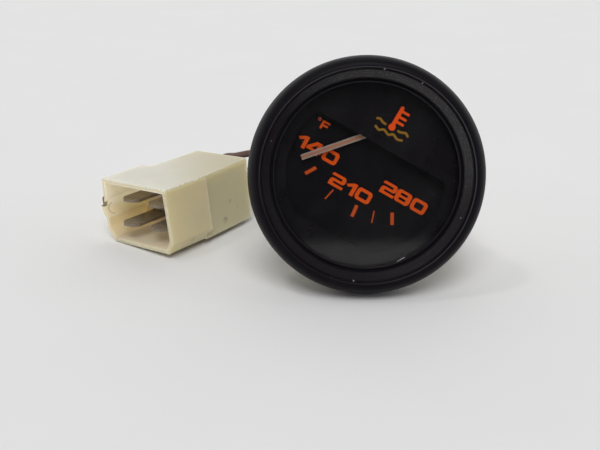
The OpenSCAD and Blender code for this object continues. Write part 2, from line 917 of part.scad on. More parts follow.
module connector_housing() {
    bulge_x = bulge_r - bulge_out - plug_half;
    rear_left = rear_inset_latch - plug_half;
    rear_right = plug_half - rear_inset_plain;
    color("#d8d0b6")
        lay()
            difference() {
                union() {
                    along_plug(0, shroud_l)
                        polygon(shroud_outline(0, -plug_half, plug_half));
                    along_plug(0, shroud_l)
                        intersection() {
                            translate([bulge_x, bulge_z])
                                circle(r = bulge_r);
                            translate([-plug_w, 0])
                                square([plug_w, plug_h]);
                        }
                    intersection() {
                        along_plug(shroud_l - floor_t, plug_l - shroud_l + floor_t)
                            polygon([
                                [rear_left, plug_h],
                                [rear_left, latch_corner_z],
                                [rear_left + latch_corner_x, 0],
                                [plug_half, 0],
                                [plug_half, plug_h]]);
                        linear_extrude(height = plug_h)
                            polygon([
                                [rear_left, 0],
                                [plug_half - plain_step, 0],
                                [plug_half - plain_step, shroud_l],
                                [rear_right, plug_l],
                                [rear_left, plug_l]]);
                    }
                }
                along_plug(-cut, shroud_l - floor_t + cut)
                    polygon(shroud_outline(shroud_wall, -plug_half, plug_half));
                along_plug(-cut, shroud_l - floor_t + cut)
                    translate([bulge_x, bulge_z])
                        circle(r = bulge_r - shroud_wall);
                translate([-plug_half - 2 * bulge_out, -cut, bulge_z + 0.4])
                    cube([2 * bulge_out - latch_slot_floor, latch_slot_l + cut, latch_slot_h]);
                at_tabs() {
                    translate([-tab_w / 2 - face_gap, shroud_l - floor_t - cut, -tab_t / 2 - face_gap])
                        cube([tab_w + 2 * face_gap, pocket_start - shroud_l + floor_t + 2 * cut,
                            tab_t + 2 * face_gap]);
                    translate([-pocket_w / 2, pocket_start, -pocket_h / 2])
                        cube([pocket_w, plug_l - pocket_start + cut, pocket_h]);
                }
            }
}

module connector_tabs() {
    tip = tab_w / 2 - tab_tip_in;
    color("#7d7059")
        lay()
            at_tabs(1) {
                translate([0, 0, -tab_t / 2])
                    linear_extrude(height = tab_t)
                        polygon([
                            [-tip, tab_setback], [tip, tab_setback],
                            [tab_w / 2, tab_setback + tab_tip], [tab_w / 2, tab_end - tab_tip],
                            [crimp_r, tab_end], [-crimp_r, tab_end],
                            [-tab_w / 2, tab_end - tab_tip], [-tab_w / 2, tab_setback + tab_tip]]);
                translate([0, tab_end - tab_tip, 0])
                    rotate([-90, 0, 0])
                        cylinder(r = crimp_r, h = crimp_end - tab_end + tab_tip);
            }
}

// Wires: from the crimp in the connector to the grommet, or to the lamp holder
wire_r = wire_d / 2;
wire_sides = 8;
wire_lead = 6;
grommet_back = -case_depth - grommet_t - grommet_nose;
lamp_back = -case_depth - lamp_flange_t - lamp_grip_l;

function plug_end(side, row) = [
    from_plug([side * tab_pitch_x / 2, crimp_end - slip(side, row), tab_z + row * tab_pitch_z / 2]),
    from_plug([side * tab_pitch_x / 2, plug_l, tab_z + row * tab_pitch_z / 2])];
function grommet_end(a) = let (x = grommet_x + wire_ring_r * cos(a), y = grommet_y + wire_ring_r * sin(a)) [
    from_dial([x, y, grommet_back - wire_lead]),
    from_dial([x, y, grommet_back])];
lamp_end = [
    from_dial([lamp_x, lamp_y, lamp_back - wire_lead]),
    from_dial([lamp_x, lamp_y, lamp_back])];

brown_route = [
    [-40, 41, 15], [-36, 46, 14.2], [-31, 51, 13.6], [-25, 56, 12.2], [-19, 60.5, 9.5], [-12, 63.5, 6],
    [-5, 64, 3], [1, 61, 1.5], [6, 56, 1.3], [9, 50, 1.3], [10, 43, 1.3], [9.5, 36, 1.3], [8, 29, 1.8],
    [6, 22.8, 3.4]];
black_route = [
    [-33, 34, 13], [-30, 39, 11], [-26, 44, 8], [-21, 48, 5], [-15, 50, 2.5], [-9, 50, 1.3],
    [-4, 47, 1.3], [-1, 42, 1.3], [0, 36, 1.3], [0.6, 30, 2], [1.2, 24, 4]];
red_route = [
    [-40, 41, 4.5], [-36, 46, 3], [-31, 51, 2], [-25, 55, 1.4], [-18, 57, 1.3], [-11, 57, 1.3],
    [-5, 55, 1.3], [0, 51, 1.3], [3, 45, 1.3], [4, 38, 1.3], [3.8, 31, 2.5], [3.9, 24, 5.4]];
blue_route = [
    [-33, 33, 6], [-29, 38, 4], [-25, 42, 2.2], [-21, 45, 1.3], [-16.5, 45, 1.3], [-13, 42, 1.8],
    [-11.5, 37, 4], [-11.5, 32, 6.8], [-11.5, 27, 9.4]];

module tube(route) {
    last = len(route) - 1;
    function heading(i) = let (d = route[min(i + 1, last)] - route[max(i - 1, 0)]) d / norm(d);
    rings = [for (i = [0 : last])
        let (t = heading(i), u = cross(t, [0, 0, 1]) / norm(cross(t, [0, 0, 1])), v = cross(u, t))
            for (s = [0 : wire_sides - 1])
                route[i] + wire_r * (cos(360 * s / wire_sides) * u + sin(360 * s / wire_sides) * v)];
    walls = [for (i = [0 : last - 1]) for (s = [0 : wire_sides - 1])
        let (n = (s + 1) % wire_sides, a = i * wire_sides, b = a + wire_sides)
            each [[a + s, a + n, b + n], [a + s, b + n, b + s]]];
    start_cap = [[for (s = [wire_sides - 1 : -1 : 0]) s]];
    end_cap = [[for (s = [0 : wire_sides - 1]) last * wire_sides + s]];
    polyhedron(points = rings, faces = concat(walls, start_cap, end_cap), convexity = 6);
}

module wire_brown() { color("#5c4030") tube(concat(plug_end(-1, 1), brown_route, grommet_end(330))); }
module wire_black() { color("#1d1d1f") tube(concat(plug_end(1, 1), black_route, grommet_end(210))); }
module wire_red() { color("#8c2420") tube(concat(plug_end(-1, -1), red_route, grommet_end(90))); }
module wire_blue() { color("#27406e") tube(concat(plug_end(1, -1), blue_route, lamp_end)); }

bezel();
glass();
gasket();
mask_plate();
dial_plate();
dial_screws();
case();
needle();
needle_boss();
counterweight();
spindle();
armature();
stop_pins();
bearing_bridge();
front_bearing();
rear_bearing();
movement_frame();
return_magnet();
coil_form_left();
coil_form_right();
winding_left();
winding_right();
core_left();
core_right();
mounting_studs();
stud_washers();
stud_nuts();
clamp_bridge();
clamp_washers();
knurled_nuts();
lamp_holder();
bulb_base();
bulb();
grommet();
connector_housing();
connector_tabs();
wire_brown();
wire_black();
wire_red();
wire_blue();
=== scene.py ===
import json
import math
import bpy
from mathutils import Matrix, Vector


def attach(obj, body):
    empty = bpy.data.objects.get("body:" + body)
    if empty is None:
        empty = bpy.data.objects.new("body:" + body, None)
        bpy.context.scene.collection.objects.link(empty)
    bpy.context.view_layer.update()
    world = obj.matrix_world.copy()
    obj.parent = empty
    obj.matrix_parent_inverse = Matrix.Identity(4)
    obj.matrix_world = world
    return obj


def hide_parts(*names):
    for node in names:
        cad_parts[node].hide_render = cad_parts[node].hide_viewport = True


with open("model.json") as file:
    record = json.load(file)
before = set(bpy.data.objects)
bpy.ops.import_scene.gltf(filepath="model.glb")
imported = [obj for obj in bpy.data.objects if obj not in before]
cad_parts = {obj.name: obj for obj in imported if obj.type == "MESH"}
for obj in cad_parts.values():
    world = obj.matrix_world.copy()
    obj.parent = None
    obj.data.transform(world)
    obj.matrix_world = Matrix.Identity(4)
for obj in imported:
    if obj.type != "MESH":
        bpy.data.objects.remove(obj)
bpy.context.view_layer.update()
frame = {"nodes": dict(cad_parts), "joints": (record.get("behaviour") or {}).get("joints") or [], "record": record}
nodes = frame["nodes"]
mm = 0.001  # sizes below are in millimetres


# Where the gauge, its needle and the connector stand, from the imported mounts

stance = {"registerLength": 5.6, "rollDegrees": 29.5, "restDegrees": 41.5, "tabHeight": 8.75}

mounts = {mount["name"]: mount for mount in frame["record"]["mounts"]}
joints = {joint["name"]: joint for joint in frame["joints"]}
register = mounts["panel_register"]
rearward = Vector(register["axis"])
seat = Vector(register["pos_m"]) - rearward * stance["registerLength"] / 2 * mm
gaugePlace = (Matrix.Translation(seat)
              @ Matrix.Rotation(math.radians(90) - math.asin(-rearward.z), 4, "X")
              @ Matrix.Rotation(math.radians(-stance["rollDegrees"]), 4, "Z"))
pivotHeight = (gaugePlace.inverted() @ Vector(joints["needle_turn"]["pos_m"])).y / mm
lampPoint = gaugePlace.inverted() @ Vector(joints["lamp_turn"]["pos_m"]) / mm
pointerPlace = (gaugePlace @ Matrix.Translation((0, pivotHeight * mm, 0))
                @ Matrix.Rotation(math.radians(-stance["restDegrees"]), 4, "Z"))
mouth = mounts["connector_mouth"]
mouthAxis = Vector(mouth["axis"])
underAxis = Vector(mounts["connector_underside"]["axis"])
plugTurn = (Matrix.Rotation(-math.atan2(-mouthAxis.x, -mouthAxis.y), 4, "Z")
            @ Matrix.Rotation(-math.acos(-underAxis.z), 4, "Y"))
plugPlace = (Matrix.Translation(Vector(mouth["pos_m"])) @ plugTurn
             @ Matrix.Translation((0, 0, -stance["tabHeight"] * mm)))


def atPlace(place, x, y, z):
    return place @ Vector((x * mm, y * mm, z * mm))


# Camera

cameraView = {"target": (-16.17, -13.07, 14.48), "distance": 227.5, "elevation": 21.85, "lens": 54,
              "sensor": 36, "clipStart": 10.0}


def makeCamera():
    tilt = math.radians(cameraView["elevation"])
    target = Vector(cameraView["target"]) * mm
    away = Vector((0, -math.cos(tilt), math.sin(tilt))) * cameraView["distance"] * mm
    bpy.ops.object.camera_add(location=target + away, rotation=(math.radians(90) - tilt, 0, 0))
    camera = bpy.context.object
    camera.name = "photoCamera"
    camera.data.sensor_width = cameraView["sensor"]
    camera.data.lens = cameraView["lens"]
    camera.data.clip_start = cameraView["clipStart"] * mm
    bpy.context.scene.camera = camera


makeCamera()
print("camera set")


# Node helpers

class Signal:
    # one node output, on which sums can be written
    def __init__(self, tree, socket):
        self.tree = tree
        self.socket = socket

    def reckon(self, operation, *values):
        return addNode(self.tree, "ShaderNodeMath", {"operation": operation}, dict(enumerate(values)))

    def __add__(self, other):
        return self.reckon("ADD", self, other)

    def __radd__(self, other):
        return self.reckon("ADD", other, self)

    def __sub__(self, other):
        return self.reckon("SUBTRACT", self, other)

    def __rsub__(self, other):
        return self.reckon("SUBTRACT", other, self)

    def __mul__(self, other):
        return self.reckon("MULTIPLY", self, other)

    def __rmul__(self, other):
        return self.reckon("MULTIPLY", other, self)

    def __pow__(self, other):
        return self.reckon("POWER", self, other)

    def most(self, other):
        return self.reckon("MAXIMUM", self, other)

    def rise(self, low, high, start=0.0, end=1.0):
        return addNode(self.tree, "ShaderNodeMapRange", {"interpolation_type": "SMOOTHSTEP", "clamp": True},
                       {"Value": self, "From Min": low, "From Max": high, "To Min": start, "To Max": end})

    def fall(self, low, high):
        return 1 - self.rise(low, high)


def addNode(tree, kind, settings, inputs, output=0):
    node = tree.nodes.new(kind)
    for name, value in settings.items():
        setattr(node, name, value)
    for name, value in inputs.items():
        if isinstance(value, Signal):
            tree.links.new(value.socket, node.inputs[name])
        else:
            node.inputs[name].default_value = value
    return Signal(tree, node.outputs[output])


def colour(value):
    return value if isinstance(value, Signal) else (*value, 1.0)


def scaled(tone, share):
    return tuple(value * share for value in tone)


def near(value, middle, width):
    # one at the middle, falling to nothing at the width on either side
    gap = (value - middle) * (value - middle)
    return 1 - gap.rise(0, width * width)


def between(value, start, end):
    return value.rise(*start) * value.fall(*end)


noiseRoughness = 0.55


class Finish:
    # a material being made, with its pattern coordinates in millimetres of a place's own frame
    def __init__(self, name, place=None):
        self.material = bpy.data.materials.new(name)
        self.material.use_nodes = True
        self.tree = self.material.node_tree
        self.tree.nodes.clear()
        where = self.add("ShaderNodeTexCoord", {}, {}, "Object")
        if place is not None:
            turn = place.to_euler()
            where = self.add("ShaderNodeMapping", {"vector_type": "TEXTURE"},
                             {"Vector": where, "Location": place.translation, "Rotation": turn})
        self.spot = self.add("ShaderNodeVectorMath", {"operation": "SCALE"}, {0: where, "Scale": 1 / mm})

    def add(self, kind, settings, inputs, output=0):
        return addNode(self.tree, kind, settings, inputs, output)

    def parts(self):
        split = self.add("ShaderNodeSeparateXYZ", {}, {0: self.spot})
        outputs = split.socket.node.outputs
        return [Signal(self.tree, outputs[i]) for i in range(3)]

    def noise(self, size, detail, stretch=None, shift=(0, 0, 0)):
        vector = self.spot
        if stretch is not None or any(shift):
            vector = self.add("ShaderNodeMapping", {}, {"Vector": self.spot, "Location": shift,
                                                        "Scale": stretch or (1, 1, 1)})
        return self.add("ShaderNodeTexNoise", {}, {"Vector": vector, "Scale": 1 / size, "Detail": detail,
                                                   "Roughness": noiseRoughness}, "Fac")

    def cells(self, size, shift=(0, 0, 0)):
        vector = self.add("ShaderNodeMapping", {}, {"Vector": self.spot, "Location": shift})
        return self.add("ShaderNodeTexVoronoi", {}, {"Vector": vector, "Scale": 1 / size}, "Distance")

    def mix(self, factor, first, second):
        return self.add("ShaderNodeMix", {"data_type": "RGBA"},
                        {0: factor, 6: colour(first), 7: colour(second)}, 2)

    def distance(self, point):
        return self.add("ShaderNodeVectorMath", {"operation": "DISTANCE"}, {0: self.spot, 1: point}, "Value")

    def bump(self, height, depth, strength):
        return self.add("ShaderNodeBump", {}, {"Height": height, "Distance": depth * mm,
                                               "Strength": strength})

    def solid(self, inputs):
        return self.close(self.add("ShaderNodeBsdfPrincipled", {}, inputs, "BSDF"))

    def close(self, surface):
        end = self.tree.nodes.new("ShaderNodeOutputMaterial")
        self.tree.links.new(surface.socket, end.inputs["Surface"])
        return self.material


# Light, floor and background

roomLight = {"behind": 0.45, "allRound": 0.10, "lowSides": 1.2, "front": 0.2, "lowFront": 0.026,
             "underFront": 0.30, "backdrop": 0.72, "tint": (1, 1, 0.995)}

# where each part of the room starts and ends, by the depth or the height of a direction
roomEdges = {"ahead": (0.2, 0.75), "lowFront": (0.42, 0.52), "underFront": (0.136, 0.147),
             "behind": (-0.2, 0.5), "lowSides": (0.3, 0.7), "frontDepth": (0.2, 0.5),
             "frontFoot": (0.5, 0.62), "frontTop": (0.84, 0.92)}

# direction towards the lamp, strength, and spread in degrees
roomLamps = {"frontBox": ((0.0, -0.66, 1.0), 1.50, 32), "backBox": ((0.1, 0.6, 1.0), 0.10, 30),
             "leftLamp": ((-0.43, -0.10, 1.0), 0.22, 6), "rightBox": ((1.0, -0.1, 1.0), 0.12, 25)}


def lightRoom():
    edges = roomEdges
    bpy.context.scene.view_settings.view_transform = "Standard"
    room = bpy.data.worlds.new("paleRoom")
    room.use_nodes = True
    bpy.context.scene.world = room
    tree = room.node_tree
    tree.nodes.clear()
    heading = addNode(tree, "ShaderNodeTexCoord", {}, {}, "Generated")
    split = addNode(tree, "ShaderNodeSeparateXYZ", {}, {0: heading}).socket.node.outputs
    depth, height = Signal(tree, split["Y"]), Signal(tree, split["Z"])
    ray = addNode(tree, "ShaderNodeLightPath", {}, {}).socket.node.outputs
    seen = Signal(tree, ray["Is Camera Ray"])
    ahead = (0 - depth).rise(*edges["ahead"])
    dark = ahead * height.fall(*edges["lowFront"])
    under = ahead * height.fall(*edges["underFront"])
    level = depth.rise(*edges["behind"], roomLight["allRound"], roomLight["behind"])
    level = height.rise(*edges["lowSides"], roomLight["lowSides"], level)
    window = (0 - depth).rise(*edges["frontDepth"]) * height.rise(*edges["frontFoot"])
    window = window * height.fall(*edges["frontTop"])
    level = level + window * (roomLight["front"] - roomLight["allRound"])
    level = level * (1 - dark) + dark * roomLight["lowFront"]
    level = level * (1 - under) + under * roomLight["underFront"]
    level = level * (1 - seen) + seen * roomLight["backdrop"]
    back = addNode(tree, "ShaderNodeBackground", {}, {"Color": colour(roomLight["tint"]), "Strength": level})
    end = tree.nodes.new("ShaderNodeOutputWorld")
    tree.links.new(back.socket, end.inputs["Surface"])
    for name, (place, power, spread) in roomLamps.items():
        bpy.ops.object.light_add(type="SUN", rotation=Vector(place).to_track_quat("Z", "Y").to_euler())
        lamp = bpy.context.object
        lamp.name = name
        lamp.data.energy = power
        lamp.data.angle = math.radians(spread)


floorSizes = {"radius": 3000.0, "corners": 96, "patch": 60.0, "tone": (0.82, 0.82, 0.822),
              "patchShade": 0.985, "roughness": 0.75, "gloss": 0.2}


def makeFloor():
    s = floorSizes
    bpy.ops.mesh.primitive_circle_add(vertices=s["corners"], radius=s["radius"] * mm, fill_type="NGON",
                                      location=(0, 0, 0))
    floor = bpy.context.object
    floor.name = "paleTable"
    paper = Finish("paleTablePaper")
    patch = paper.noise(s["patch"], 3)
    tone = paper.mix(patch.rise(0.3, 0.7), s["tone"], scaled(s["tone"], s["patchShade"]))
    floor.data.materials.append(paper.solid({"Base Color": tone, "Roughness": s["roughness"],
                                             "Specular IOR Level": s["gloss"]}))


bpy.ops.object.select_all(action="DESELECT")
lightRoom()
makeFloor()
print("light and table set")


# Finishes

# dust on the bezel: place on the dial and size
bezelSpecks = [(-9.2, 23.9, 0.24), (0.2, 25.5, 0.2), (9.6, -23.5, 0.2), (24.6, 2.4, 0.14),
               (-24.2, -4.0, 0.14)]

# where the bezel's finish changes: radii, heights above the seat, and reaches up and across the dial
bezelZones = {"slopeIn": (23.4, 23.9), "slopeOut": (25.1, 25.5), "slopeFoot": (4.5, 5.0),
              "crest": (25.87, 0.2), "crestFoot": (8.2, 8.4), "lip": (22.68, 0.16), "lipFoot": (4.28, 4.38),
              "grooveIn": (22.84, 22.9), "grooveOut": (23.4, 23.46), "grooveFoot": (4.0, 4.1),
              "grooveTop": (4.3, 4.6), "sheenTop": (0, 24), "sheenRight": (8, 22), "crestGlintLow": (-26, -10),
              "crestGlintHigh": (-10, 16), "lipHigh": (-6, 20)}

# the bezel's tones: the slope tone is dust with a painted reflection, the edge tone is the painted highlight of
# the crest and the lip, and the groove tone is painted shade
bezelTones = {"black": (0.0040, 0.0030, 0.0049), "worn": (0.0058, 0.0047, 0.0071),
              "dustAndSheen": (0.22, 0.215, 0.215), "edge": (0.056, 0.054, 0.060),
              "groove": (0.0008, 0.0007, 0.0009), "dust": (0.42, 0.41, 0.39)}

bezelPatterns = {"mottle": 3.2, "grain": 0.14, "grainDepth": 0.008, "fleck": 0.42, "rings": 0.2}


def blackMoulding():
    zone, tones, sizes = bezelZones, bezelTones, bezelPatterns
    skin = Finish("blackMoulding", gaugePlace)
    x, y, z = skin.parts()
    radius = (x * x + y * y) ** 0.5
    mottle = skin.noise(sizes["mottle"], 4)
    grain = skin.noise(sizes["grain"], 2)
    rings = skin.add("ShaderNodeTexNoise", {"noise_dimensions": "1D"},
                     {"W": radius, "Scale": 1 / sizes["rings"], "Detail": 2.0}, "Fac")
    slope = between(radius, zone["slopeIn"], zone["slopeOut"]) * z.rise(*zone["slopeFoot"])
    fleck = skin.noise(sizes["fleck"], 2, shift=(7, 3, 1)).rise(0.52, 0.72)
    # dust and painted sheen on the inner slope: dust flecks and rings all round, and a painted reflection that
    # makes the slope much lighter towards the top and somewhat lighter towards the right
    dustAndSheen = slope * (0.4 + rings.rise(0.4, 0.7) * 0.12 + fleck * 0.5)
    dustAndSheen = dustAndSheen * (0.7 + y.rise(*zone["sheenTop"]) * 5.5 + x.rise(*zone["sheenRight"]) * 0.8)
    # the crest line: a painted highlight along the crest, brighter towards the top of the dial, together with some
    # dust on the crest
    crest = near(radius, *zone["crest"]) * z.rise(*zone["crestFoot"])
    crest = crest * (0.1 + y.rise(*zone["crestGlintLow"]) * 0.35 + y.rise(*zone["crestGlintHigh"]) * 0.4)
    # painted highlight: a thin light line round the lip's inner edge, standing for its reflection in the glass,
    # brighter towards the top
    lip = near(radius, *zone["lip"]) * z.rise(*zone["lipFoot"]) * (0.25 + y.rise(*zone["lipHigh"]) * 0.25)
    # painted shade: the groove between the slope and the lip is darkened towards near black
    groove = between(radius, zone["grooveIn"], zone["grooveOut"]) * z.fall(*zone["grooveTop"])
    groove = groove * z.rise(*zone["grooveFoot"])
    spots = None
    for across, up, size in bezelSpecks:
        gap = ((x - across) * (x - across) + (y - up) * (y - up)) ** 0.5
        spot = gap.fall(size * 0.5, size)
        spots = spot if spots is None else spots.most(spot)
    tone = skin.mix(mottle.rise(0.3, 0.75), tones["black"], tones["worn"])
    tone = skin.mix(dustAndSheen * 0.085, tone, tones["dustAndSheen"])
    tone = skin.mix(crest + lip, tone, tones["edge"])
    tone = skin.mix(groove * 0.1, tone, tones["groove"])
    tone = skin.mix(spots * 0.75, tone, tones["dust"])
    rough = 0.38 + mottle * 0.14 + dustAndSheen * 0.3 + spots * 0.2
    return skin.solid({"Base Color": tone, "Roughness": rough, "Specular IOR Level": 0.08,
                       "Normal": skin.bump(grain, sizes["grainDepth"], 0.4)})


matBlackSizes = {"mottle": 4.5, "grain": 0.12, "grainDepth": 0.003}


def matBlack(name, tone, roughness, gloss):
    skin = Finish(name, gaugePlace)
    mottle = skin.noise(matBlackSizes["mottle"], 4)
    grain = skin.noise(matBlackSizes["grain"], 2)
    shade = skin.mix(mottle.rise(0.3, 0.7), tone, scaled(tone, 1.25))
    rough = roughness + mottle * 0.08
    return skin.solid({"Base Color": shade, "Roughness": rough, "Specular IOR Level": gloss,
                       "Normal": skin.bump(grain, matBlackSizes["grainDepth"], 0.3)})


inkSizes = {"patch": 0.7, "grain": 0.08, "wear": 0.12}


def inked(name, tone):
    ink = Finish(name, gaugePlace)
    patch = ink.noise(inkSizes["patch"], 4)
    grain = ink.noise(inkSizes["grain"], 2)
    shade = ink.mix(patch.rise(0.45, 0.75) * inkSizes["wear"], tone, scaled(tone, 0.55))
    rough = 0.55 + grain * 0.15
    return ink.solid({"Base Color": shade, "Roughness": rough, "Specular IOR Level": 0.1})


needleTones = {"white": (0.37, 0.31, 0.27), "worn": (0.29, 0.24, 0.21), "stripe": (0.42, 0.15, 0.07)}
needleMarks = {"patch": 0.9, "stripe": (0.0, 0.52)}


def needlePaint():
    paint = Finish("needlePaint", pointerPlace)
    across = paint.parts()[0]
    patch = paint.noise(needleMarks["patch"], 4)
    tone = paint.mix(patch.rise(0.4, 0.75), needleTones["white"], needleTones["worn"])
    tone = paint.mix(near(across, *needleMarks["stripe"]) * 0.9, tone, needleTones["stripe"])
    rough = 0.5 + patch * 0.1
    return paint.solid({"Base Color": tone, "Roughness": rough, "Specular IOR Level": 0.3})


# the scratch's middle, direction, half length and half width, and the heights where the front face begins
glassMarks = {"smear": 9.0, "motes": 1.3, "moteSize": (0.03, 0.06), "motePatch": 5.0,
              "scratch": (17.6, -13.57), "turn": (0.53, 0.85), "length": 1.4, "width": 0.17, "breaks": 0.5,
              "front": (3.8, 3.95)}
glassTones = {"clear": (0.985, 0.99, 0.99), "shine": (1, 1, 1), "dust": (0.55, 0.54, 0.52), "gloss": 0.045}


def clearGlass(name, dusty):
    marks, tones = glassMarks, glassTones
    pane = Finish(name, gaugePlace)
    x, y, z = pane.parts()
    smear = pane.noise(marks["smear"], 4, stretch=(1, 0.6, 1))
    fleck = pane.cells(marks["motes"], shift=(4, 9, 2))
    mote = fleck.fall(*marks["moteSize"]) * pane.noise(marks["motePatch"], 2).rise(0.5, 0.6)
    facing = pane.add("ShaderNodeLayerWeight", {}, {"Blend": 0.5}, "Facing")
    mirror = 0.04 + (facing ** 5) * 0.96  # more of a mirror at a flat angle
    clear = pane.add("ShaderNodeBsdfTransparent", {}, {"Color": colour(tones["clear"])})
    shine = pane.add("ShaderNodeBsdfAnisotropic", {}, {"Color": colour(tones["shine"]),
                                                       "Roughness": tones["gloss"]})
    film = pane.add("ShaderNodeBsdfDiffuse", {}, {"Color": colour(tones["dust"])})
    faces = pane.add("ShaderNodeMixShader", {}, {0: mirror, 1: clear, 2: shine})
    side, up = x - marks["scratch"][0], y - marks["scratch"][1]
    along = side * marks["turn"][0] + up * marks["turn"][1]
    across = side * marks["turn"][1] - up * marks["turn"][0]
    scratch = near(along, 0.0, marks["length"]) * near(across, 0.0, marks["width"])
    scratch = scratch * z.rise(*marks["front"]) * pane.noise(marks["breaks"], 2).rise(0.25, 0.6)
    worn = (mote * 0.5 + smear.rise(0.4, 0.8) * 0.006 + scratch * 0.9) * dusty
    return pane.close(pane.add("ShaderNodeMixShader", {}, {0: worn, 1: faces, 2: film}))


# marks on the housing: place in the connector's own frame, size and strength
housingMarks = [((11.6, 22.8, 3.0), 1.6, 0.75), ((12.3, 8.2, 2.2), 1.4, 0.5), ((12.4, 14.8, 1.6), 1.3, 0.45),
                ((11.4, 25.5, 7.8), 1.0, 0.4), ((12.3, 12.1, 3.2), 1.2, 0.35), ((11.4, 28.6, 5.2), 0.9, 0.35)]

# where the housing's finish changes: x across, y back from the mouth, z up from its foot;
# boxSquare and grooveSquare are squares of a distance from the middle
nylonZones = {"top": (17.6, 18.15), "topFar": (4.0, 38.0), "rear": (15.3, 15.7), "boxSquare": (136, 142),
              "boxBack": (13.8, 14.2), "boxFoot": (0.8, 1.0), "boxTop": (17.2, 17.5),
              "groove": (-9.55, 9.7), "grooveSquare": (13.0, 15.0), "litHigher": (5.5, 12.0),
              "glowTop": (7.5, 12.0), "glowBack": (1.5, 6.0), "glowFoot": (1.0, 5.0)}
innerBrownZones = {"middle": (0.0, 10.5, 1.2), "reach": (3.0, 8.5), "top": (1.6, 3.0), "front": (1.5, 4.0)}
edgeZones = {"right": (12.55, 0.35), "left": (-12.5, 0.4), "front": (0.0, 0.3), "top": (18.15, 0.35),
             "frontRight": (12.3, 0.7), "foot": (0.0, 0.4), "step": (15.5, 0.3), "stepSide": (9.0, 11.0),
             "stepTop": (15.0, 18.0)}
arcZones = {"middle": (-12.6, 3.0, 8.7), "line": (1.6, 0.32), "back": (2.4, 3.2), "side": (-11.5, -10.5)}
notchZones = {"side": (-12.7, -12.4), "back": (0.7, 1.6), "foot": (9.7, 10.0), "top": (12.9, 13.2)}

# the housing's tones: the sides' tone, the paler inside tone, the notch's tone and the glow tone are painted shade
# and light
nylonTones = {"top": (0.69, 0.665, 0.57), "sides": (0.675, 0.585, 0.38), "topFar": (0.50, 0.455, 0.315),
              "rear": (0.54, 0.52, 0.335), "insideLow": (0.70, 0.57, 0.41), "insideLitHigh": (0.88, 0.79, 0.64),
              "cloud": (0.56, 0.50, 0.36), "innerBrown": (0.60, 0.38, 0.20), "soil": (0.17, 0.115, 0.06),
              "notchShade": (0.02, 0.018, 0.016), "paintedGlow": (0.98, 0.79, 0.50)}

nylonPatterns = {"cloud": 6.0, "grain": 0.35, "grainDepth": 0.015, "innerBrown": 1.6, "soil": 0.9, "specks": 2.4,
                 "speckPatch": 7.0}
nylonLight = {"through": 0.9, "radius": (1.0, 0.85, 0.62), "depth": 6.0, "paintedGlow": 0.11}


def nylonSoil(skin, inside):
    # dirt on edges and step, specks, separate marks and the rubbed arc beside the mouth
    zone = edgeZones
    x, y, z = skin.parts()
    broken = skin.noise(nylonPatterns["soil"], 3, shift=(3, 1, 8)).rise(0.46, 0.6)
    edges = near(x, *zone["right"]).most(near(y, *zone["front"]) * 0.5).most(near(x, *zone["left"]) * 0.5)
    edges = edges * near(z, *zone["top"])
    edges = edges.most(near(y, *zone["front"]) * near(x, *zone["frontRight"]) * 0.6)
    edges = edges.most(near(z, *zone["foot"]) * 0.3)
    step = near(y, *zone["step"]) * x.rise(*zone["stepSide"]) * z.fall(*zone["stepTop"]) * 0.4
    speck = skin.cells(nylonPatterns["specks"], shift=(1, 7, 3)).fall(0.05, 0.10)
    speck = speck * skin.noise(nylonPatterns["speckPatch"], 2, shift=(9, 2, 5)).rise(0.52, 0.6)
    soil = (edges.most(step) * broken * 0.4).most(speck * 0.35)
    for place, size, depth in housingMarks:
        soil = soil.most(skin.distance(place).fall(0, size) * (0.35 + broken * 0.65) * depth)
    rubbed = near(skin.distance(arcZones["middle"]), *arcZones["line"])
    rubbed = rubbed * y.fall(*arcZones["back"]) * x.fall(*arcZones["side"])
    return soil.most(rubbed * inside * 0.4)


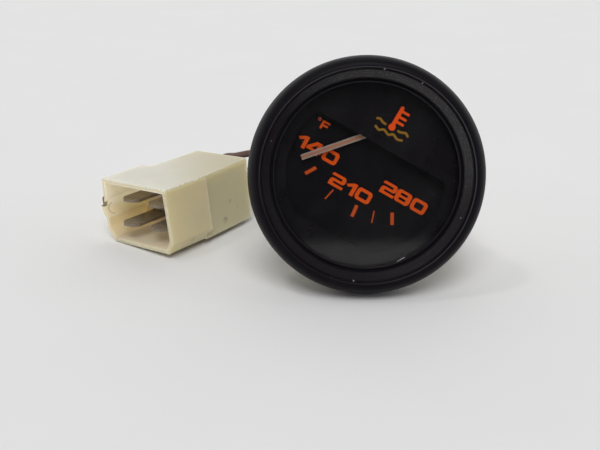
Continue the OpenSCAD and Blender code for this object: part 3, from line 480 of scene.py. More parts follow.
def creamNylon():
    zone, tones = nylonZones, nylonTones
    skin = Finish("creamNylon", plugPlace)
    x, y, z = skin.parts()
    cloud = skin.noise(nylonPatterns["cloud"], 4)
    grain = skin.noise(nylonPatterns["grain"], 3)
    # painted shade: the sides below the top face get a darker, yellower tone than the top, standing for the light
    # falling on the top
    belowTop = z.fall(*zone["top"])
    tone = skin.mix(belowTop, tones["top"], tones["sides"])
    tone = skin.mix((x * 0.8 + y).rise(*zone["topFar"]) * (1 - belowTop), tone, tones["topFar"])
    tone = skin.mix(y.rise(*zone["rear"]) * belowTop * 0.55, tone, tones["rear"])
    boxed = (x * x).fall(*zone["boxSquare"]) * y.fall(*zone["boxBack"])
    boxed = boxed * z.rise(*zone["boxFoot"]) * z.fall(*zone["boxTop"])
    side, up = x - zone["groove"][0], z - zone["groove"][1]
    groove = (side * side + up * up).fall(*zone["grooveSquare"]) * y.fall(*zone["boxBack"])
    inside = boxed.most(groove)
    # painted light: inside the mouth the walls turn paler higher up, as if lit through the translucent top wall
    tone = skin.mix(inside, tone, skin.mix(z.rise(*zone["litHigher"]), tones["insideLow"], tones["insideLitHigh"]))
    tone = skin.mix(cloud.rise(0.35, 0.75) * 0.2, tone, tones["cloud"])
    # a browner patch on the floor inside the mouth, from a little behind the sill inwards, broken up by noise
    innerBrown = skin.distance(innerBrownZones["middle"]).fall(*innerBrownZones["reach"])
    innerBrown = innerBrown * z.fall(*innerBrownZones["top"]) * y.rise(*innerBrownZones["front"])
    innerBrown = innerBrown * (0.55 + skin.noise(nylonPatterns["innerBrown"], 3, shift=(2, 8, 4)).rise(0.35, 0.65) * 0.45)
    tone = skin.mix(innerBrown * 0.4, tone, tones["innerBrown"])
    soil = nylonSoil(skin, inside)
    tone = skin.mix(soil, tone, tones["soil"])
    # painted shade: a near-black patch in the latch notch at the mouth's left edge, standing for the shadow deep
    # in the slot
    notchShade = x.fall(*notchZones["side"]) * y.fall(*notchZones["back"])
    notchShade = notchShade * between(z, notchZones["foot"], notchZones["top"])
    tone = skin.mix(notchShade * 0.97, tone, tones["notchShade"])
    rough = 0.42 + cloud * 0.14 + soil * 0.25
    # painted light: the upper inside walls and the deeper inside floor are made to glow, standing for light
    # passing through the translucent walls
    paintedGlow = z.rise(*zone["glowTop"]) * 0.7 + y.rise(*zone["glowBack"]) * z.fall(*zone["glowFoot"])
    paintedGlow = skin.mix(inside * paintedGlow * (1 - soil), (0, 0, 0), tones["paintedGlow"])
    return skin.solid({"Base Color": tone, "Roughness": rough, "Specular IOR Level": 0.4,
                       "Subsurface Weight": nylonLight["through"],
                       "Subsurface Radius": nylonLight["radius"],
                       "Subsurface Scale": nylonLight["depth"] * mm,
                       "Emission Color": paintedGlow, "Emission Strength": nylonLight["paintedGlow"],
                       "Normal": skin.bump(grain, nylonPatterns["grainDepth"], 0.4)})


vinylSizes = {"patch": 5.0, "grain": 0.25, "grainDepth": 0.01}


def vinyl(name, tone, dull):
    skin = Finish(name)
    patch = skin.noise(vinylSizes["patch"], 3)
    grain = skin.noise(vinylSizes["grain"], 2)
    shade = skin.mix(patch.rise(0.35, 0.7), tone, dull)
    rough = 0.33 + patch * 0.2
    return skin.solid({"Base Color": shade, "Roughness": rough, "Specular IOR Level": 0.5,
                       "Normal": skin.bump(grain, vinylSizes["grainDepth"], 0.4)})


plateSizes = {"cloud": 5.0, "streak": 0.35, "streakDepth": 0.006, "spangle": 2.4}


def platedSteel(name, tone, worn, roughness, drawn=(1, 1, 0.08)):
    plate = Finish(name, gaugePlace)
    cloud = plate.noise(plateSizes["cloud"], 4)
    streak = plate.noise(plateSizes["streak"], 3, stretch=drawn)
    spangle = plate.cells(plateSizes["spangle"])
    shade = plate.mix(cloud.rise(0.35, 0.7), tone, worn)
    shade = plate.mix(streak.rise(0.45, 0.75) * 0.35, shade, scaled(tone, 0.72))
    rough = roughness + cloud * 0.12 + streak * 0.1 + spangle * 0.04
    return plate.solid({"Base Color": shade, "Metallic": 0.92, "Roughness": rough,
                        "Normal": plate.bump(streak, plateSizes["streakDepth"], 0.5)})


tabSizes = {"cloud": 2.5, "streak": 0.5, "drawn": (1, 0.12, 1), "streakDepth": 0.006}
tabTones = {"tin": (0.31, 0.26, 0.195), "dull": (0.225, 0.185, 0.14), "streak": (0.10, 0.08, 0.055)}


def dullTabs():
    plate = Finish("dullTabs", plugPlace)
    cloud = plate.noise(tabSizes["cloud"], 4)
    streak = plate.noise(tabSizes["streak"], 3, stretch=tabSizes["drawn"])
    shade = plate.mix(cloud.rise(0.35, 0.7), tabTones["tin"], tabTones["dull"])
    shade = plate.mix(streak.rise(0.5, 0.75) * 0.5, shade, tabTones["streak"])
    rough = 0.5 + cloud * 0.15
    return plate.solid({"Base Color": shade, "Metallic": 0.55, "Roughness": rough,
                        "Normal": plate.bump(streak, tabSizes["streakDepth"], 0.5)})


ironSizes = {"cloud": 2.0, "pit": 0.5, "pitDepth": 0.01}


def darkIron(name, tone):
    iron = Finish(name, gaugePlace)
    cloud = iron.noise(ironSizes["cloud"], 4)
    pit = iron.cells(ironSizes["pit"])
    shade = iron.mix(cloud.rise(0.3, 0.7), tone, scaled(tone, 0.6))
    rough = 0.5 + cloud * 0.15
    return iron.solid({"Base Color": shade, "Metallic": 0.7, "Roughness": rough,
                       "Normal": iron.bump(pit, ironSizes["pitDepth"], 0.4)})


mouldedSizes = {"cloud": 3.5, "grain": 0.2, "grainDepth": 0.012}


def moulded(name, tone, shade, roughness=0.45):
    skin = Finish(name, gaugePlace)
    cloud = skin.noise(mouldedSizes["cloud"], 4)
    grain = skin.noise(mouldedSizes["grain"], 2)
    mixed = skin.mix(cloud.rise(0.35, 0.75), tone, shade)
    rough = roughness + cloud * 0.12
    return skin.solid({"Base Color": mixed, "Roughness": rough, "Specular IOR Level": 0.4,
                       "Normal": skin.bump(grain, mouldedSizes["grainDepth"], 0.5)})


copperLook = {"cloud": 2.2, "bright": (0.42, 0.13, 0.045), "dark": (0.26, 0.07, 0.025), "lacquer": 0.4}


def copperTurns():
    wire = Finish("copperTurns", gaugePlace)
    cloud = wire.noise(copperLook["cloud"], 3)
    shade = wire.mix(cloud.rise(0.3, 0.7), copperLook["bright"], copperLook["dark"])
    rough = 0.3 + cloud * 0.15
    return wire.solid({"Base Color": shade, "Metallic": 0.75, "Roughness": rough,
                       "Coat Weight": copperLook["lacquer"], "Coat Roughness": 0.2})


finishes = {
    "bezel": blackMoulding(),
    "mask": matBlack("maskBlack", (0.0068, 0.0056, 0.0075), 0.07, 0.25),
    "dial": matBlack("dialBlack", (0.0046, 0.0038, 0.0054), 0.7, 0.05),
    "figureInk": inked("figureInk", (0.80, 0.094, 0.004)),
    "markInk": inked("markInk", (0.62, 0.085, 0.010)),
    "ringInk": inked("ringInk", (0.60, 0.11, 0.055)),
    "orangeInk": inked("orangeInk", (0.93, 0.092, 0.004)),
    "ochreInk": inked("ochreInk", (0.33, 0.165, 0.012)),
    "needlePaint": needlePaint(),
    "glass": clearGlass("clearGlass", 1.0),
    "bulbGlass": clearGlass("bulbGlass", 0.2),
    "gasket": moulded("gasketRubber", (0.022, 0.022, 0.022), (0.03, 0.03, 0.029), 0.7),
    "case": platedSteel("passivatedCase", (0.58, 0.53, 0.40), (0.50, 0.47, 0.38), 0.3),
    "clamp": platedSteel("passivatedStrip", (0.60, 0.55, 0.41), (0.50, 0.46, 0.36), 0.3, (0.08, 1, 1)),
    "steel": platedSteel("brightSteel", (0.50, 0.50, 0.49), (0.42, 0.42, 0.41), 0.28, (1, 1, 1)),
    "brass": platedSteel("satinBrass", (0.60, 0.44, 0.17), (0.46, 0.32, 0.12), 0.3, (1, 1, 1)),
    "tabs": dullTabs(),
    "iron": darkIron("softIron", (0.20, 0.20, 0.20)),
    "magnet": darkIron("magnetGrey", (0.09, 0.09, 0.095)),
    "weight": darkIron("weightGrey", (0.34, 0.34, 0.33)),
    "blackPlastic": matBlack("bossBlack", (0.008, 0.008, 0.008), 0.45, 0.3),
    "form": moulded("coilForm", (0.62, 0.57, 0.46), (0.55, 0.49, 0.37)),
    "copper": copperTurns(),
    "lamp": moulded("whiteNylon", (0.74, 0.72, 0.66), (0.66, 0.63, 0.55), 0.4),
    "grommet": moulded("grommetRubber", (0.018, 0.018, 0.018), (0.028, 0.027, 0.026), 0.62),
    "housing": creamNylon(),
    "brown": vinyl("brownVinyl", (0.105, 0.052, 0.030), (0.075, 0.038, 0.024)),
    "black": vinyl("blackVinyl", (0.012, 0.012, 0.013), (0.018, 0.017, 0.017)),
    "red": vinyl("redVinyl", (0.26, 0.022, 0.016), (0.18, 0.018, 0.014)),
    "blue": vinyl("blueVinyl", (0.022, 0.05, 0.16), (0.018, 0.038, 0.11)),
}
print("finishes made")


# Shaping helpers

softening = {"joinGap": 0.002, "flatDegrees": 1.0, "edgeDegrees": 32, "smoothDegrees": 40}
joinGap = 1e-4  # for shells made in millimetres


def choose(*pieces):
    bpy.ops.object.select_all(action="DESELECT")
    for piece in pieces:
        piece.select_set(True)
    bpy.context.view_layer.objects.active = pieces[0]


def settle(piece, place):
    # puts the place and the millimetre scale into the mesh
    choose(piece)
    piece.matrix_world = place @ Matrix.Diagonal((mm, mm, mm, 1))
    bpy.ops.object.transform_apply(location=True, rotation=True, scale=True)
    return piece


def closeShell(piece, gap=joinGap):
    choose(piece)
    bpy.ops.object.mode_set(mode="EDIT")
    bpy.ops.mesh.select_all(action="SELECT")
    bpy.ops.mesh.remove_doubles(threshold=gap)
    bpy.ops.mesh.normals_make_consistent(inside=False)
    bpy.ops.object.mode_set(mode="OBJECT")


def smooth(piece, degrees):
    choose(piece)
    bpy.ops.object.shade_smooth_by_angle(angle=math.radians(degrees))


def addModifier(piece, kind, **settings):
    choose(piece)
    modifier = piece.modifiers.new(kind.title(), kind)
    for name, value in settings.items():
        setattr(modifier, name, value)
    bpy.ops.object.modifier_apply(modifier=modifier.name)


def addLine(curve, points, cyclic):
    spline = curve.splines.new("POLY")
    spline.points.add(len(points) - 1)
    for point, spot in zip(spline.points, points):
        point.co = (*spot, 1)
    spline.use_cyclic_u = cyclic


def meshFrom(name, curve):
    piece = bpy.data.objects.new(name, curve)
    bpy.context.collection.objects.link(piece)
    choose(piece)
    bpy.ops.object.convert(target="MESH")
    return bpy.context.object


def drawn(name, points, cyclic):
    curve = bpy.data.curves.new(name, "CURVE")
    curve.dimensions = "3D"
    addLine(curve, points, cyclic)
    return meshFrom(name, curve)


def turned(name, outline, steps, cyclic=True):
    # a profile of radii and heights, spun round the upright axis
    piece = drawn(name, [(radius, 0, height) for radius, height in outline], cyclic)
    bpy.ops.object.mode_set(mode="EDIT")
    bpy.ops.mesh.select_all(action="SELECT")
    bpy.ops.mesh.spin(steps=steps, angle=2 * math.pi, center=(0, 0, 0), axis=(0, 0, 1))
    bpy.ops.object.mode_set(mode="OBJECT")
    closeShell(piece)
    return piece


def arc(x, y, wide, high, start, end, steps):
    angles = [math.radians(start + (end - start) * i / steps) for i in range(steps + 1)]
    return [(x + wide * math.cos(a), y + high * math.sin(a)) for a in angles]


def softened(name, node, width, segments=2):
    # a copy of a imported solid, its triangles joined to faces and its edges rounded
    piece = bpy.data.objects.new(name, nodes[node].data.copy())
    bpy.context.collection.objects.link(piece)
    piece.data.materials.clear()
    choose(piece)
    if piece.data.has_custom_normals:
        bpy.ops.mesh.customdata_custom_splitnormals_clear()
    bpy.ops.object.mode_set(mode="EDIT")
    bpy.ops.mesh.select_all(action="SELECT")
    bpy.ops.mesh.remove_doubles(threshold=softening["joinGap"] * mm)
    bpy.ops.mesh.dissolve_limited(angle_limit=math.radians(softening["flatDegrees"]))
    bpy.ops.mesh.normals_make_consistent(inside=False)
    bpy.ops.object.mode_set(mode="OBJECT")
    if width:
        addModifier(piece, "BEVEL", width=width * mm, segments=segments, limit_method="ANGLE",
                    angle_limit=math.radians(softening["edgeDegrees"]), use_clamp_overlap=True,
                    miter_outer="MITER_ARC")
    smooth(piece, softening["smoothDegrees"])
    addModifier(piece, "WEIGHTED_NORMAL", keep_sharp=True)
    return piece


def dress(piece, body, finish, slotName, *replaced):
    piece.data.materials.clear()
    piece.data.materials.append(finishes[finish])
    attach(piece, body)
    if replaced:
        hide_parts(*replaced)


def dressSolid(name, solid, edge, body, finish, slotName, segments=2):
    piece = softened(name, solid, edge, segments)
    dress(piece, body, finish, slotName, solid)
    return piece


def coat(finish, *names):
    for name in names:
        for holder in nodes[name].material_slots:
            holder.material = finishes[finish]


# Wires, each from its exit at the gauge to the connector

wireSizes = {"diameter": 2.2, "crimpEnd": 27.0, "slip": 1.0, "housingEnd": 34.8, "acrossPitch": 10.2,
             "upPitch": 6.8, "grommet": (8.98, -8.98), "grommetBack": -28.8, "ring": 1.4, "lampBack": -31.4,
             "stub": 6.0, "bendSteps": 10, "roundSteps": 5}

# points on and above the table, from the connector to the gauge
wireRoutes = {
    "brown": [(6, 22.8, 3.4), (8, 29, 1.8), (9.5, 36, 1.3), (10, 43, 1.3), (9, 50, 1.3), (6, 56, 1.3),
              (1, 61, 1.5), (-5, 63.8, 3), (-12, 63.25, 6), (-19, 60.5, 9.5), (-25, 56, 12.2),
              (-31, 51, 13.6), (-36, 46, 14.2), (-40, 41, 15)],
    "black": [(1.2, 24, 4), (0.6, 30, 2), (0, 36, 1.3), (-1, 42, 1.3), (-4, 47, 1.3), (-9, 50, 1.3),
              (-15, 50, 2.5), (-21, 48, 5), (-26, 44, 8), (-30, 39, 11), (-33, 34, 13)],
    "red": [(3.9, 24, 5.4), (3.8, 31, 2.5), (4, 38, 1.3), (3, 45, 1.3), (0, 51, 1.3), (-5, 55, 1.3),
            (-11, 57, 1.3), (-18, 57, 1.3), (-25, 55, 1.4), (-31, 51, 2), (-36, 46, 3), (-40, 41, 4.5)],
    "blue": [(-11.5, 27, 9.4), (-11.5, 32, 6.8), (-11.5, 37, 4), (-13, 42, 1.8), (-14.56, 43.8, 1.45),
             (-16.5, 45, 1.35), (-21, 45, 1.38), (-25, 42, 2.2), (-29, 38, 4), (-31, 35.5, 4.95),
             (-33, 33, 6)],
}

# ring angle at the grommet (none for the lamp), column and row in the connector, length
wireEnds = {"brown": (330, -1, 1, 121.5), "black": (210, 1, 1, 89.8), "red": (90, -1, -1, 104.8),
            "blue": (None, 1, -1, 68.3)}


def makeWire(name):
    ring, column, row, length = wireEnds[name]
    if ring is None:
        x, y, back = lampPoint.x, lampPoint.y, wireSizes["lampBack"]
    else:
        x = wireSizes["grommet"][0] + wireSizes["ring"] * math.cos(math.radians(ring))
        y = wireSizes["grommet"][1] + wireSizes["ring"] * math.sin(math.radians(ring))
        back = wireSizes["grommetBack"]
    across = column * wireSizes["acrossPitch"] / 2
    up = stance["tabHeight"] + row * wireSizes["upPitch"] / 2
    path = [atPlace(gaugePlace, x, y, back), atPlace(gaugePlace, x, y, back - wireSizes["stub"])]
    path += [Vector(point) * mm for point in wireRoutes[name]]
    crimp = wireSizes["crimpEnd"] - (wireSizes["slip"] if column < 0 and row < 0 else 0)
    path += [atPlace(plugPlace, across, wireSizes["housingEnd"], up), atPlace(plugPlace, across, crimp, up)]
    line = bpy.data.curves.new(name + "Wire", "CURVE")
    line.dimensions = "3D"
    line.resolution_u = wireSizes["bendSteps"]
    line.bevel_depth = wireSizes["diameter"] / 2 * mm
    line.bevel_resolution = wireSizes["roundSteps"]
    line.use_fill_caps = True
    spline = line.splines.new("BEZIER")
    spline.bezier_points.add(len(path) - 1)
    for point, spot in zip(spline.bezier_points, path):
        point.co = spot
        point.handle_left_type = point.handle_right_type = "AUTO"
    wire = bpy.data.objects.new(name + "Wire", line)
    bpy.context.collection.objects.link(wire)
    dress(wire, "gauge_body", name, "wire_" + name, "wire_" + name)
    return wire, path[0], length


wires = {name: makeWire(name) for name in wireEnds}
print("wires laid")


# Connector

connectorSizes = {"edge": 0.4, "segments": 3, "tabEdge": 0.12}


def makeConnector():
    s = connectorSizes
    housing = dressSolid("connectorShell", "connector_housing", s["edge"], "gauge_body", "housing",
                         "cream_nylon", s["segments"])
    tabs = dressSolid("flatTabs", "connector_tabs", s["tabEdge"], "gauge_body", "tabs", "tinned_brass")
    for wire, start, length in wires.values():
        length * mm


makeConnector()
print("connector made")


# Bezel, glass and mask

bezelSizes = {"rim": 29.0, "height": 8.6, "band": 3.0, "backEdge": 0.4, "crest": 26.05, "crestRound": 0.33,
              "shelf": (25.35, 7.5), "slopeFoot": (23.45, 4.8), "grooveFloor": 4.14, "lipOuter": 22.9,
              "lipRadius": 22.52, "lipTop": 4.42, "glassTop": 4.0, "glassRadius": 24.95, "glassBack": 2.2,
              "flangeRadius": 27.05, "flangeBack": 0.8, "boreRadius": 26.1, "boreEdge": 0.1, "steps": 192,
              "smoothDegrees": 28}

# start, end and steps of the round stretches
bezelArcs = {"back": (-70, 0, 4), "flank": (0, 88, 26), "crest": (96, 172, 8)}

# the points of each small rounding, as steps out and up from its corner
bezelRounds = {"shelf": [(0.03, 0.15), (-0.08, -0.1)],
               "slopeFoot": [(0.12, 0.14), (0.03, 0.02), (0.01, -0.2)],
               "grooveOuter": [(-0.05, 0.06), (-0.13, 0)], "grooveInner": [(0.05, 0), (0, 0.05)],
               "lipOuter": [(-0.06, -0.05), (-0.13, 0)], "lipInner": [(0.12, 0), (0.03, -0.07), (0, -0.16)],
               "lipFoot": [(0, 0.06), (0.05, 0.02)]}


def bezelCorner(name, radius, height):
    return [(radius + out, height + up) for out, up in bezelRounds[name]]


def makeBezel():
    s = bezelSizes
    backEdge, crestRound = s["backEdge"], s["crestRound"]
    outline = [(s["boreRadius"] + s["boreEdge"], 0), (s["rim"] - backEdge, 0)]
    outline += arc(s["rim"] - backEdge, backEdge, backEdge, backEdge, *bezelArcs["back"])
    outline += arc(s["crest"], s["band"], s["rim"] - s["crest"], s["height"] - s["band"], *bezelArcs["flank"])
    outline += arc(s["crest"], s["height"] - crestRound, crestRound, crestRound, *bezelArcs["crest"])
    outline += bezelCorner("shelf", *s["shelf"]) + bezelCorner("slopeFoot", *s["slopeFoot"])
    outline += bezelCorner("grooveOuter", s["slopeFoot"][0], s["grooveFloor"])
    outline += bezelCorner("grooveInner", s["lipOuter"], s["grooveFloor"])
    outline += bezelCorner("lipOuter", s["lipOuter"], s["lipTop"])
    outline += bezelCorner("lipInner", s["lipRadius"], s["lipTop"])
    outline += bezelCorner("lipFoot", s["lipRadius"], s["glassTop"])
    outline += [(s["glassRadius"], s["glassTop"]), (s["glassRadius"], s["glassBack"])]
    outline += [(s["flangeRadius"], s["glassBack"]), (s["flangeRadius"], s["flangeBack"])]
    outline += [(s["boreRadius"], s["flangeBack"]), (s["boreRadius"], s["boreEdge"])]
    bezel = settle(turned("bezelRing", outline, s["steps"]), gaugePlace)
    smooth(bezel, s["smoothDegrees"])
    dress(bezel, "gauge_body", "bezel", "bezel", "bezel")


glassSizes = {"radius": 24.8, "back": 2.2, "front": 4.0, "edge": 0.15, "steps": 128, "smoothDegrees": 32}


def makeGlass():
    s = glassSizes
    outline = [(0, s["back"]), (s["radius"] - s["edge"], s["back"]), (s["radius"], s["back"] + s["edge"]),
               (s["radius"], s["front"] - s["edge"]), (s["radius"] - s["edge"], s["front"]), (0, s["front"])]
    pane = settle(turned("glassPane", outline, s["steps"], False), gaugePlace)
    smooth(pane, s["smoothDegrees"])
    dress(pane, "gauge_body", "glass", "glass", "glass")


maskSizes = {"edge": 0.08}

makeBezel()
makeGlass()
dressSolid("maskPlate", "mask_plate", maskSizes["edge"], "gauge_body", "mask", "mask")
print("bezel, glass and mask made")


# Print on the dial and the mask

printSizes = {"thickness": 0.03, "dialFace": -1.8, "maskFace": 0.9}


def box(left, bottom, right, top, radius):
    return [(left, bottom, radius), (right, bottom, radius), (right, top, radius), (left, top, radius)]


# corners from the lower left of each figure: across, up and the radius of the rounding
glyphs = {
    "0": [box(0, 0, 4.12, 3.25, 0.88), box(0.93, 0.83, 3.19, 2.42, 0.35)],
    "1": [[(0, 2.3, 0), (1.75, 3.25, 0), (2.66, 3.25, 0), (2.66, 0, 0), (1.66, 0, 0), (1.66, 2.25, 0),
           (0.4, 1.72, 0)]],
    "2": [[(0, 0, 0), (4.0, 0, 0.1), (4.0, 0.72, 0.1), (1.05, 0.72, 0.1), (1.05, 1.24, 0), (4.0, 1.24, 0.75),
           (4.0, 3.25, 0.8), (0, 3.25, 0.5), (0, 2.52, 0), (2.95, 2.52, 0.1), (2.95, 1.93, 0.1),
           (0, 1.93, 0.8)]],
    "4": [[(0, 0.62, 0), (0, 1.35, 0), (1.9, 3.25, 0), (3.45, 3.25, 0), (3.45, 1.3, 0), (4.0, 1.3, 0),
           (4.0, 0.62, 0), (3.45, 0.62, 0), (3.45, 0, 0), (2.42, 0, 0), (2.42, 0.62, 0)],
          [(1.15, 1.28, 0), (2.42, 1.28, 0), (2.42, 2.5, 0)]],
    "8": [box(0, 0, 4.12, 3.25, 0.86), box(1.07, 1.95, 3.0, 2.55, 0.22), box(1.07, 0.71, 3.0, 1.33, 0.22)],
    "F": [[(0, 0, 0), (0.6, 0, 0), (0.6, 0.78, 0), (1.85, 0.78, 0), (1.85, 1.28, 0), (0.6, 1.28, 0),
           (0.6, 1.7, 0), (2.07, 1.7, 0), (2.07, 2.22, 0), (0, 2.22, 0)]],
}

# each figure and the place of its lower left corner on the dial
numbers = [("2", 5.05, -1.9), ("8", 9.15, -1.9), ("0", 13.65, -1.9), ("2", -7.1, -6.4), ("1", -2.7, -6.4),
           ("0", 0.3, -6.4), ("1", -19.0, -2.0), ("4", -16.1, -2.0), ("0", -11.7, -2.0), ("F", -15.67, 4.48)]

# angle from straight down, and width
marks = [(-31.9, 0.86), (-13.2, 0.34), (5.6, 0.86), (17.7, 0.32), (29.7, 0.86)]
markReach = (21.65, 24.75)

# radius and steps of the ring's two edges
degreeSizes = {"middle": (-16.55, 6.42), "outer": (0.44, 24), "inner": (0.18, 16)}

# the bulb's and the tube's middle and radius, with the start, end and steps of their arcs
signSizes = {"bulb": (-0.24, 13.36, 0.88, 0.88), "bulbArc": (-236, 56, 28),
             "tube": (-0.28, 18.56, 0.48, 0.48), "tubeArc": (0, 180, 10), "tubeFoot": 14.2,
             "tubeLeft": -0.8, "tubeRight": 0.2, "ticks": (17.87, 16.38, 15.03), "tickEnd": 2.1,
             "tickHalf": 0.33, "tickRound": 0.28, "waveWidth": 0.55}

waves = [[(-4.69, 13.41), (-3.75, 13.72), (-2.8, 13.29), (-1.8, 13.25)],
         [(1.36, 13.35), (1.9, 13.2), (2.6, 13.42), (3.35, 13.68), (3.9, 13.47), (4.39, 13.12)],
         [(-4.08, 11.73), (-2.74, 11.25), (-1.69, 11.85), (-0.13, 11.34), (0.92, 11.94), (2.35, 11.41),
          (3.68, 11.78)]]

curveSteps = {"corner": 5, "stroke": 6}


def rounded(corners):
    loop = []
    for i, (x, y, radius) in enumerate(corners):
        here = Vector((x, y))
        if not radius:
            loop.append(here)
            continue
        before = (Vector(corners[i - 1][:2]) - here).normalized()
        after = (Vector(corners[(i + 1) % len(corners)][:2]) - here).normalized()
        half = before.angle(after) / 2
        centre = here + (before + after).normalized() * radius / math.sin(half)
        start = here + before * radius / math.tan(half) - centre
        end = here + after * radius / math.tan(half) - centre
        for step in range(curveSteps["corner"] + 1):
            spot = start.lerp(end, step / curveSteps["corner"])
            loop.append(centre + spot.normalized() * radius)
    return loop


def printed(name, loops, face, finish, slotName):
    # closed outlines filled as flat ink
    ink = bpy.data.curves.new(name, "CURVE")
    ink.dimensions = "2D"
    ink.fill_mode = "BOTH"
    ink.extrude = printSizes["thickness"] / 2
    for loop in loops:
        addLine(ink, [(*spot, 0) for spot in loop], True)
    middle = face + printSizes["thickness"] / 2
    piece = settle(meshFrom(name, ink), gaugePlace @ Matrix.Translation((0, 0, middle * mm)))
    closeShell(piece, joinGap * mm)
    dress(piece, "gauge_body", finish, slotName)


def circleLoop(x, y, radius, steps):
    return arc(x, y, radius, radius, 0, 360 * (steps - 1) / steps, steps - 1)


def stroke(points, width):
    # a smooth stroke of even width through the points
    spots = [Vector(point) for point in points]
    spots = [spots[0] * 2 - spots[1]] + spots + [spots[-1] * 2 - spots[-2]]
    line = []
    for a, b, c, d in zip(spots, spots[1:], spots[2:], spots[3:]):
        for step in range(curveSteps["stroke"]):
            t = step / curveSteps["stroke"]
            bend = (a * 2 - b * 5 + c * 4 - d) * t * t + (b * 3 - a - c * 3 + d) * t ** 3
            line.append((b * 2 + (c - a) * t + bend) / 2)
    line.append(spots[-2])
    sides = ([], [])
    for i, spot in enumerate(line):
        along = (line[min(i + 1, len(line) - 1)] - line[max(i - 1, 0)]).normalized()
        offset = Vector((-along.y, along.x)) * width / 2
        sides[0].append(spot + offset)
        sides[1].append(spot - offset)
    return sides[0] + sides[1][::-1]


def printScale():
    face = printSizes["dialFace"]
    loops = []
    for glyph, left, bottom in numbers:
        loops += [[spot + Vector((left, bottom)) for spot in rounded(corners)] for corners in glyphs[glyph]]
    printed("dialFigures", loops, face, "figureInk", "dial")
    loops = []
    for angle, width in marks:
        turn = math.radians(angle)
        along = Vector((math.sin(turn), -math.cos(turn)))
        side = Vector((math.cos(turn), math.sin(turn))) * width / 2
        inner, outer = (Vector((0, pivotHeight)) + along * reach for reach in markReach)
        loops.append([inner - side, outer - side, outer + side, inner + side])
    printed("scaleMarks", loops, face, "markInk", "dial")
    ring = [circleLoop(*degreeSizes["middle"], *degreeSizes[edge]) for edge in ("outer", "inner")]
    printed("degreeRing", ring, face, "ringInk", "dial")


def printSign():
    s = signSizes
    face = printSizes["maskFace"]
    outline = [(s["tubeRight"], s["tubeFoot"])] + arc(*s["tube"], *s["tubeArc"])
    outline += [(s["tubeLeft"], s["tubeFoot"])] + arc(*s["bulb"], *s["bulbArc"])
    printed("thermometerSign", [outline], face, "orangeInk", "mask")
    ticks = []
    for middle in s["ticks"]:
        low, high = middle - s["tickHalf"], middle + s["tickHalf"]
        ticks.append(rounded([(s["tubeRight"], low, 0), (s["tickEnd"], low, s["tickRound"]),
                              (s["tickEnd"], high, s["tickRound"]), (s["tubeRight"], high, 0)]))
    printed("thermometerTicks", ticks, face, "orangeInk", "mask")
    printed("waterWaves", [stroke(wave, s["waveWidth"]) for wave in waves], face, "ochreInk", "mask")


printScale()
printSign()
print("dial printed")


# Needle

needleSizes = {"edge": 0.06}

dressSolid("needleBlade", "needle", needleSizes["edge"], "pointer", "needlePaint", "needle")
print("needle made")


# Case and rear fittings

studSizes = {"x": 13.0, "y": 3.0, "radius": 2.0, "end": -40.0, "threadStart": -27.0, "headRadius": 3.2,
             "headFace": -22.8, "headThickness": 0.8, "headFoot": 0.1, "headEdge": 0.15, "steps": 48,
             "smoothDegrees": 40}

# one turn of the thread, and the taper of its tip
threadSizes = {"root": 1.66, "crest": 1.97, "pitch": 0.7, "crestStart": 0.27, "crestEnd": 0.37,
               "crestFoot": 0.62, "tip": 1.46, "tipSlope": 0.9, "steps": 32, "joinGap": 1e-3}


def studPlace(side):
    return gaugePlace @ Matrix.Translation((side * studSizes["x"] * mm, studSizes["y"] * mm, 0))


def makeThread():
    s = threadSizes
    end, start = studSizes["end"], studSizes["threadStart"]
    points = []
    height = end - 2 * s["pitch"]
    while height < start + 2 * s["pitch"]:
        points += [(s["root"], 0, height), (s["crest"], 0, height + s["crestStart"]),
                   (s["crest"], 0, height + s["crestEnd"]), (s["root"], 0, height + s["crestFoot"])]
        height += s["pitch"]
    thread = drawn("threadedStuds", points, False)
    addModifier(thread, "SCREW", axis="Z", angle=2 * math.pi, screw_offset=s["pitch"], steps=s["steps"],
                render_steps=s["steps"], iterations=1, use_merge_vertices=True, use_smooth_shade=False)
    bpy.ops.object.mode_set(mode="EDIT")
    bpy.ops.mesh.select_all(action="SELECT")
    bpy.ops.mesh.remove_doubles(threshold=s["joinGap"])
    for height, cut in ((end, {"clear_inner": True}), (start, {"clear_outer": True})):
        bpy.ops.mesh.select_all(action="SELECT")
        bpy.ops.mesh.bisect(plane_co=(0, 0, height), plane_no=(0, 0, 1), use_fill=True, **cut)
    bpy.ops.object.mode_set(mode="OBJECT")
    for vertex in thread.data.vertices:  # tapered tip
        reach = math.hypot(vertex.co.x, vertex.co.y)
        limit = s["tip"] + (vertex.co.z - end) * s["tipSlope"]
        if reach > limit:
            vertex.co.x *= limit / reach
            vertex.co.y *= limit / reach
    closeShell(thread, s["joinGap"])
    return thread


def makeStuds():
    s = studSizes
    thread = makeThread()
    start, face, head = s["threadStart"], s["headFace"], s["headRadius"]
    top = face + s["headThickness"]
    outline = [(0, start), (s["radius"], start), (s["radius"], face), (head - s["headFoot"], face),
               (head, face + s["headFoot"]), (head, top - s["headEdge"]), (head - s["headEdge"], top),
               (0, top)]
    shank = turned("studShank", outline, s["steps"], False)
    choose(thread, shank)
    bpy.ops.object.join()
    twin = thread.copy()
    twin.data = thread.data.copy()
    bpy.context.collection.objects.link(twin)
    for side, piece in ((-1, thread), (1, twin)):
        settle(piece, studPlace(side))
    choose(thread, twin)
    bpy.ops.object.join()
    smooth(thread, s["smoothDegrees"])
    dress(thread, "gauge_body", "steel", "steel", "mounting_studs")


nutSizes = {"back": -28.5, "front": -26.1, "radius": 4.09, "face": 3.49, "chamfer": 0.35, "steps": 64,
            "smoothDegrees": 25}


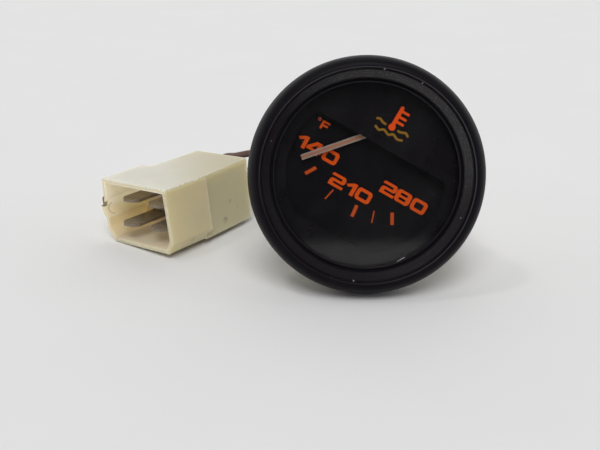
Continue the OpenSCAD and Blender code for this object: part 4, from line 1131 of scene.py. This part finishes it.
def makeNuts():
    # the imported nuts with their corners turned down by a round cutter
    s = nutSizes
    nuts = softened("studNuts", "stud_nuts", 0)
    outline = [(0, s["back"]), (s["face"], s["back"]), (s["radius"], s["back"] + s["chamfer"]),
               (s["radius"], s["front"] - s["chamfer"]), (s["face"], s["front"]), (0, s["front"])]
    cutters = [settle(turned("nutRound", outline, s["steps"], False), studPlace(side)) for side in (-1, 1)]
    choose(*cutters)
    bpy.ops.object.join()
    addModifier(nuts, "BOOLEAN", operation="INTERSECT", object=cutters[0], solver="EXACT")
    bpy.data.objects.remove(cutters[0])
    smooth(nuts, s["smoothDegrees"])
    dress(nuts, "gauge_body", "steel", "steel", "stud_nuts")


caseSizes = {"edge": 0.12}

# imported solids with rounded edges: piece, solid, width of the rounding, body, finish, slot and segments
fittings = [("caseWashers", "stud_washers", 0.08, "gauge_body", "steel", "steel", 2),
            ("clampStrip", "clamp_bridge", 0.25, "clamp", "clamp", "zinc_steel", 2),
            ("stripWashers", "clamp_washers", 0.08, "clamp", "steel", "steel", 2),
            ("thumbNuts", "knurled_nuts", 0.07, "clamp", "brass", "brass", 2),
            ("lampSocket", "lamp_holder", 0.25, "lamp", "lamp", "white_nylon", 2),
            ("wireGrommet", "grommet", 0.3, "gauge_body", "grommet", "black_rubber", 3)]

dressSolid("drawnCase", "case", caseSizes["edge"], "gauge_body", "case", "zinc_steel")
makeStuds()
makeNuts()
for fitting in fittings:
    dressSolid(*fitting)
print("case and rear fittings made")


# Movement, inside the case

coilSizes = {"angle": 45.0, "middle": -12.0, "start": 9.3, "length": 10.2, "outer": 5.08, "inner": 3.04,
             "turns": 26, "steps": 48, "smoothDegrees": 50}
wireRound = (0.3, 0.9, 1.57, 2.24, 2.84)  # angles of the points round one turn's outer half, in radians


def makeWindings():
    s = coilSizes
    step = s["length"] / s["turns"]
    outline = [(s["inner"], s["start"] + s["length"]), (s["inner"], s["start"])]
    for turn in range(s["turns"]):
        middle = s["start"] + (turn + 0.5) * step
        outline += [(s["outer"] - step / 2 + step / 2 * math.sin(a), middle - step / 2 * math.cos(a))
                    for a in wireRound]
    pivot = gaugePlace @ Matrix.Translation((0, pivotHeight * mm, s["middle"] * mm))
    lying = Matrix.Rotation(math.radians(90), 4, "X")
    for side, name in ((-1, "left"), (1, "right")):
        place = pivot @ Matrix.Rotation(math.radians(side * s["angle"]), 4, "Z") @ lying
        coil = settle(turned("coilTurns_" + name, outline, s["steps"]), place)
        smooth(coil, s["smoothDegrees"])
        dress(coil, "gauge_body", "copper", "copper", "winding_" + name)


makeWindings()
coat("gasket", "gasket")
coat("dial", "dial_plate")
coat("steel", "dial_screws", "spindle", "stop_pins", "core_left", "core_right")
coat("blackPlastic", "needle_boss")
coat("weight", "counterweight")
coat("iron", "armature")
coat("magnet", "return_magnet")
coat("brass", "bearing_bridge", "front_bearing", "rear_bearing", "bulb_base")
coat("clamp", "movement_frame")
coat("form", "coil_form_left", "coil_form_right")
coat("bulbGlass", "bulb")
print("movement made")
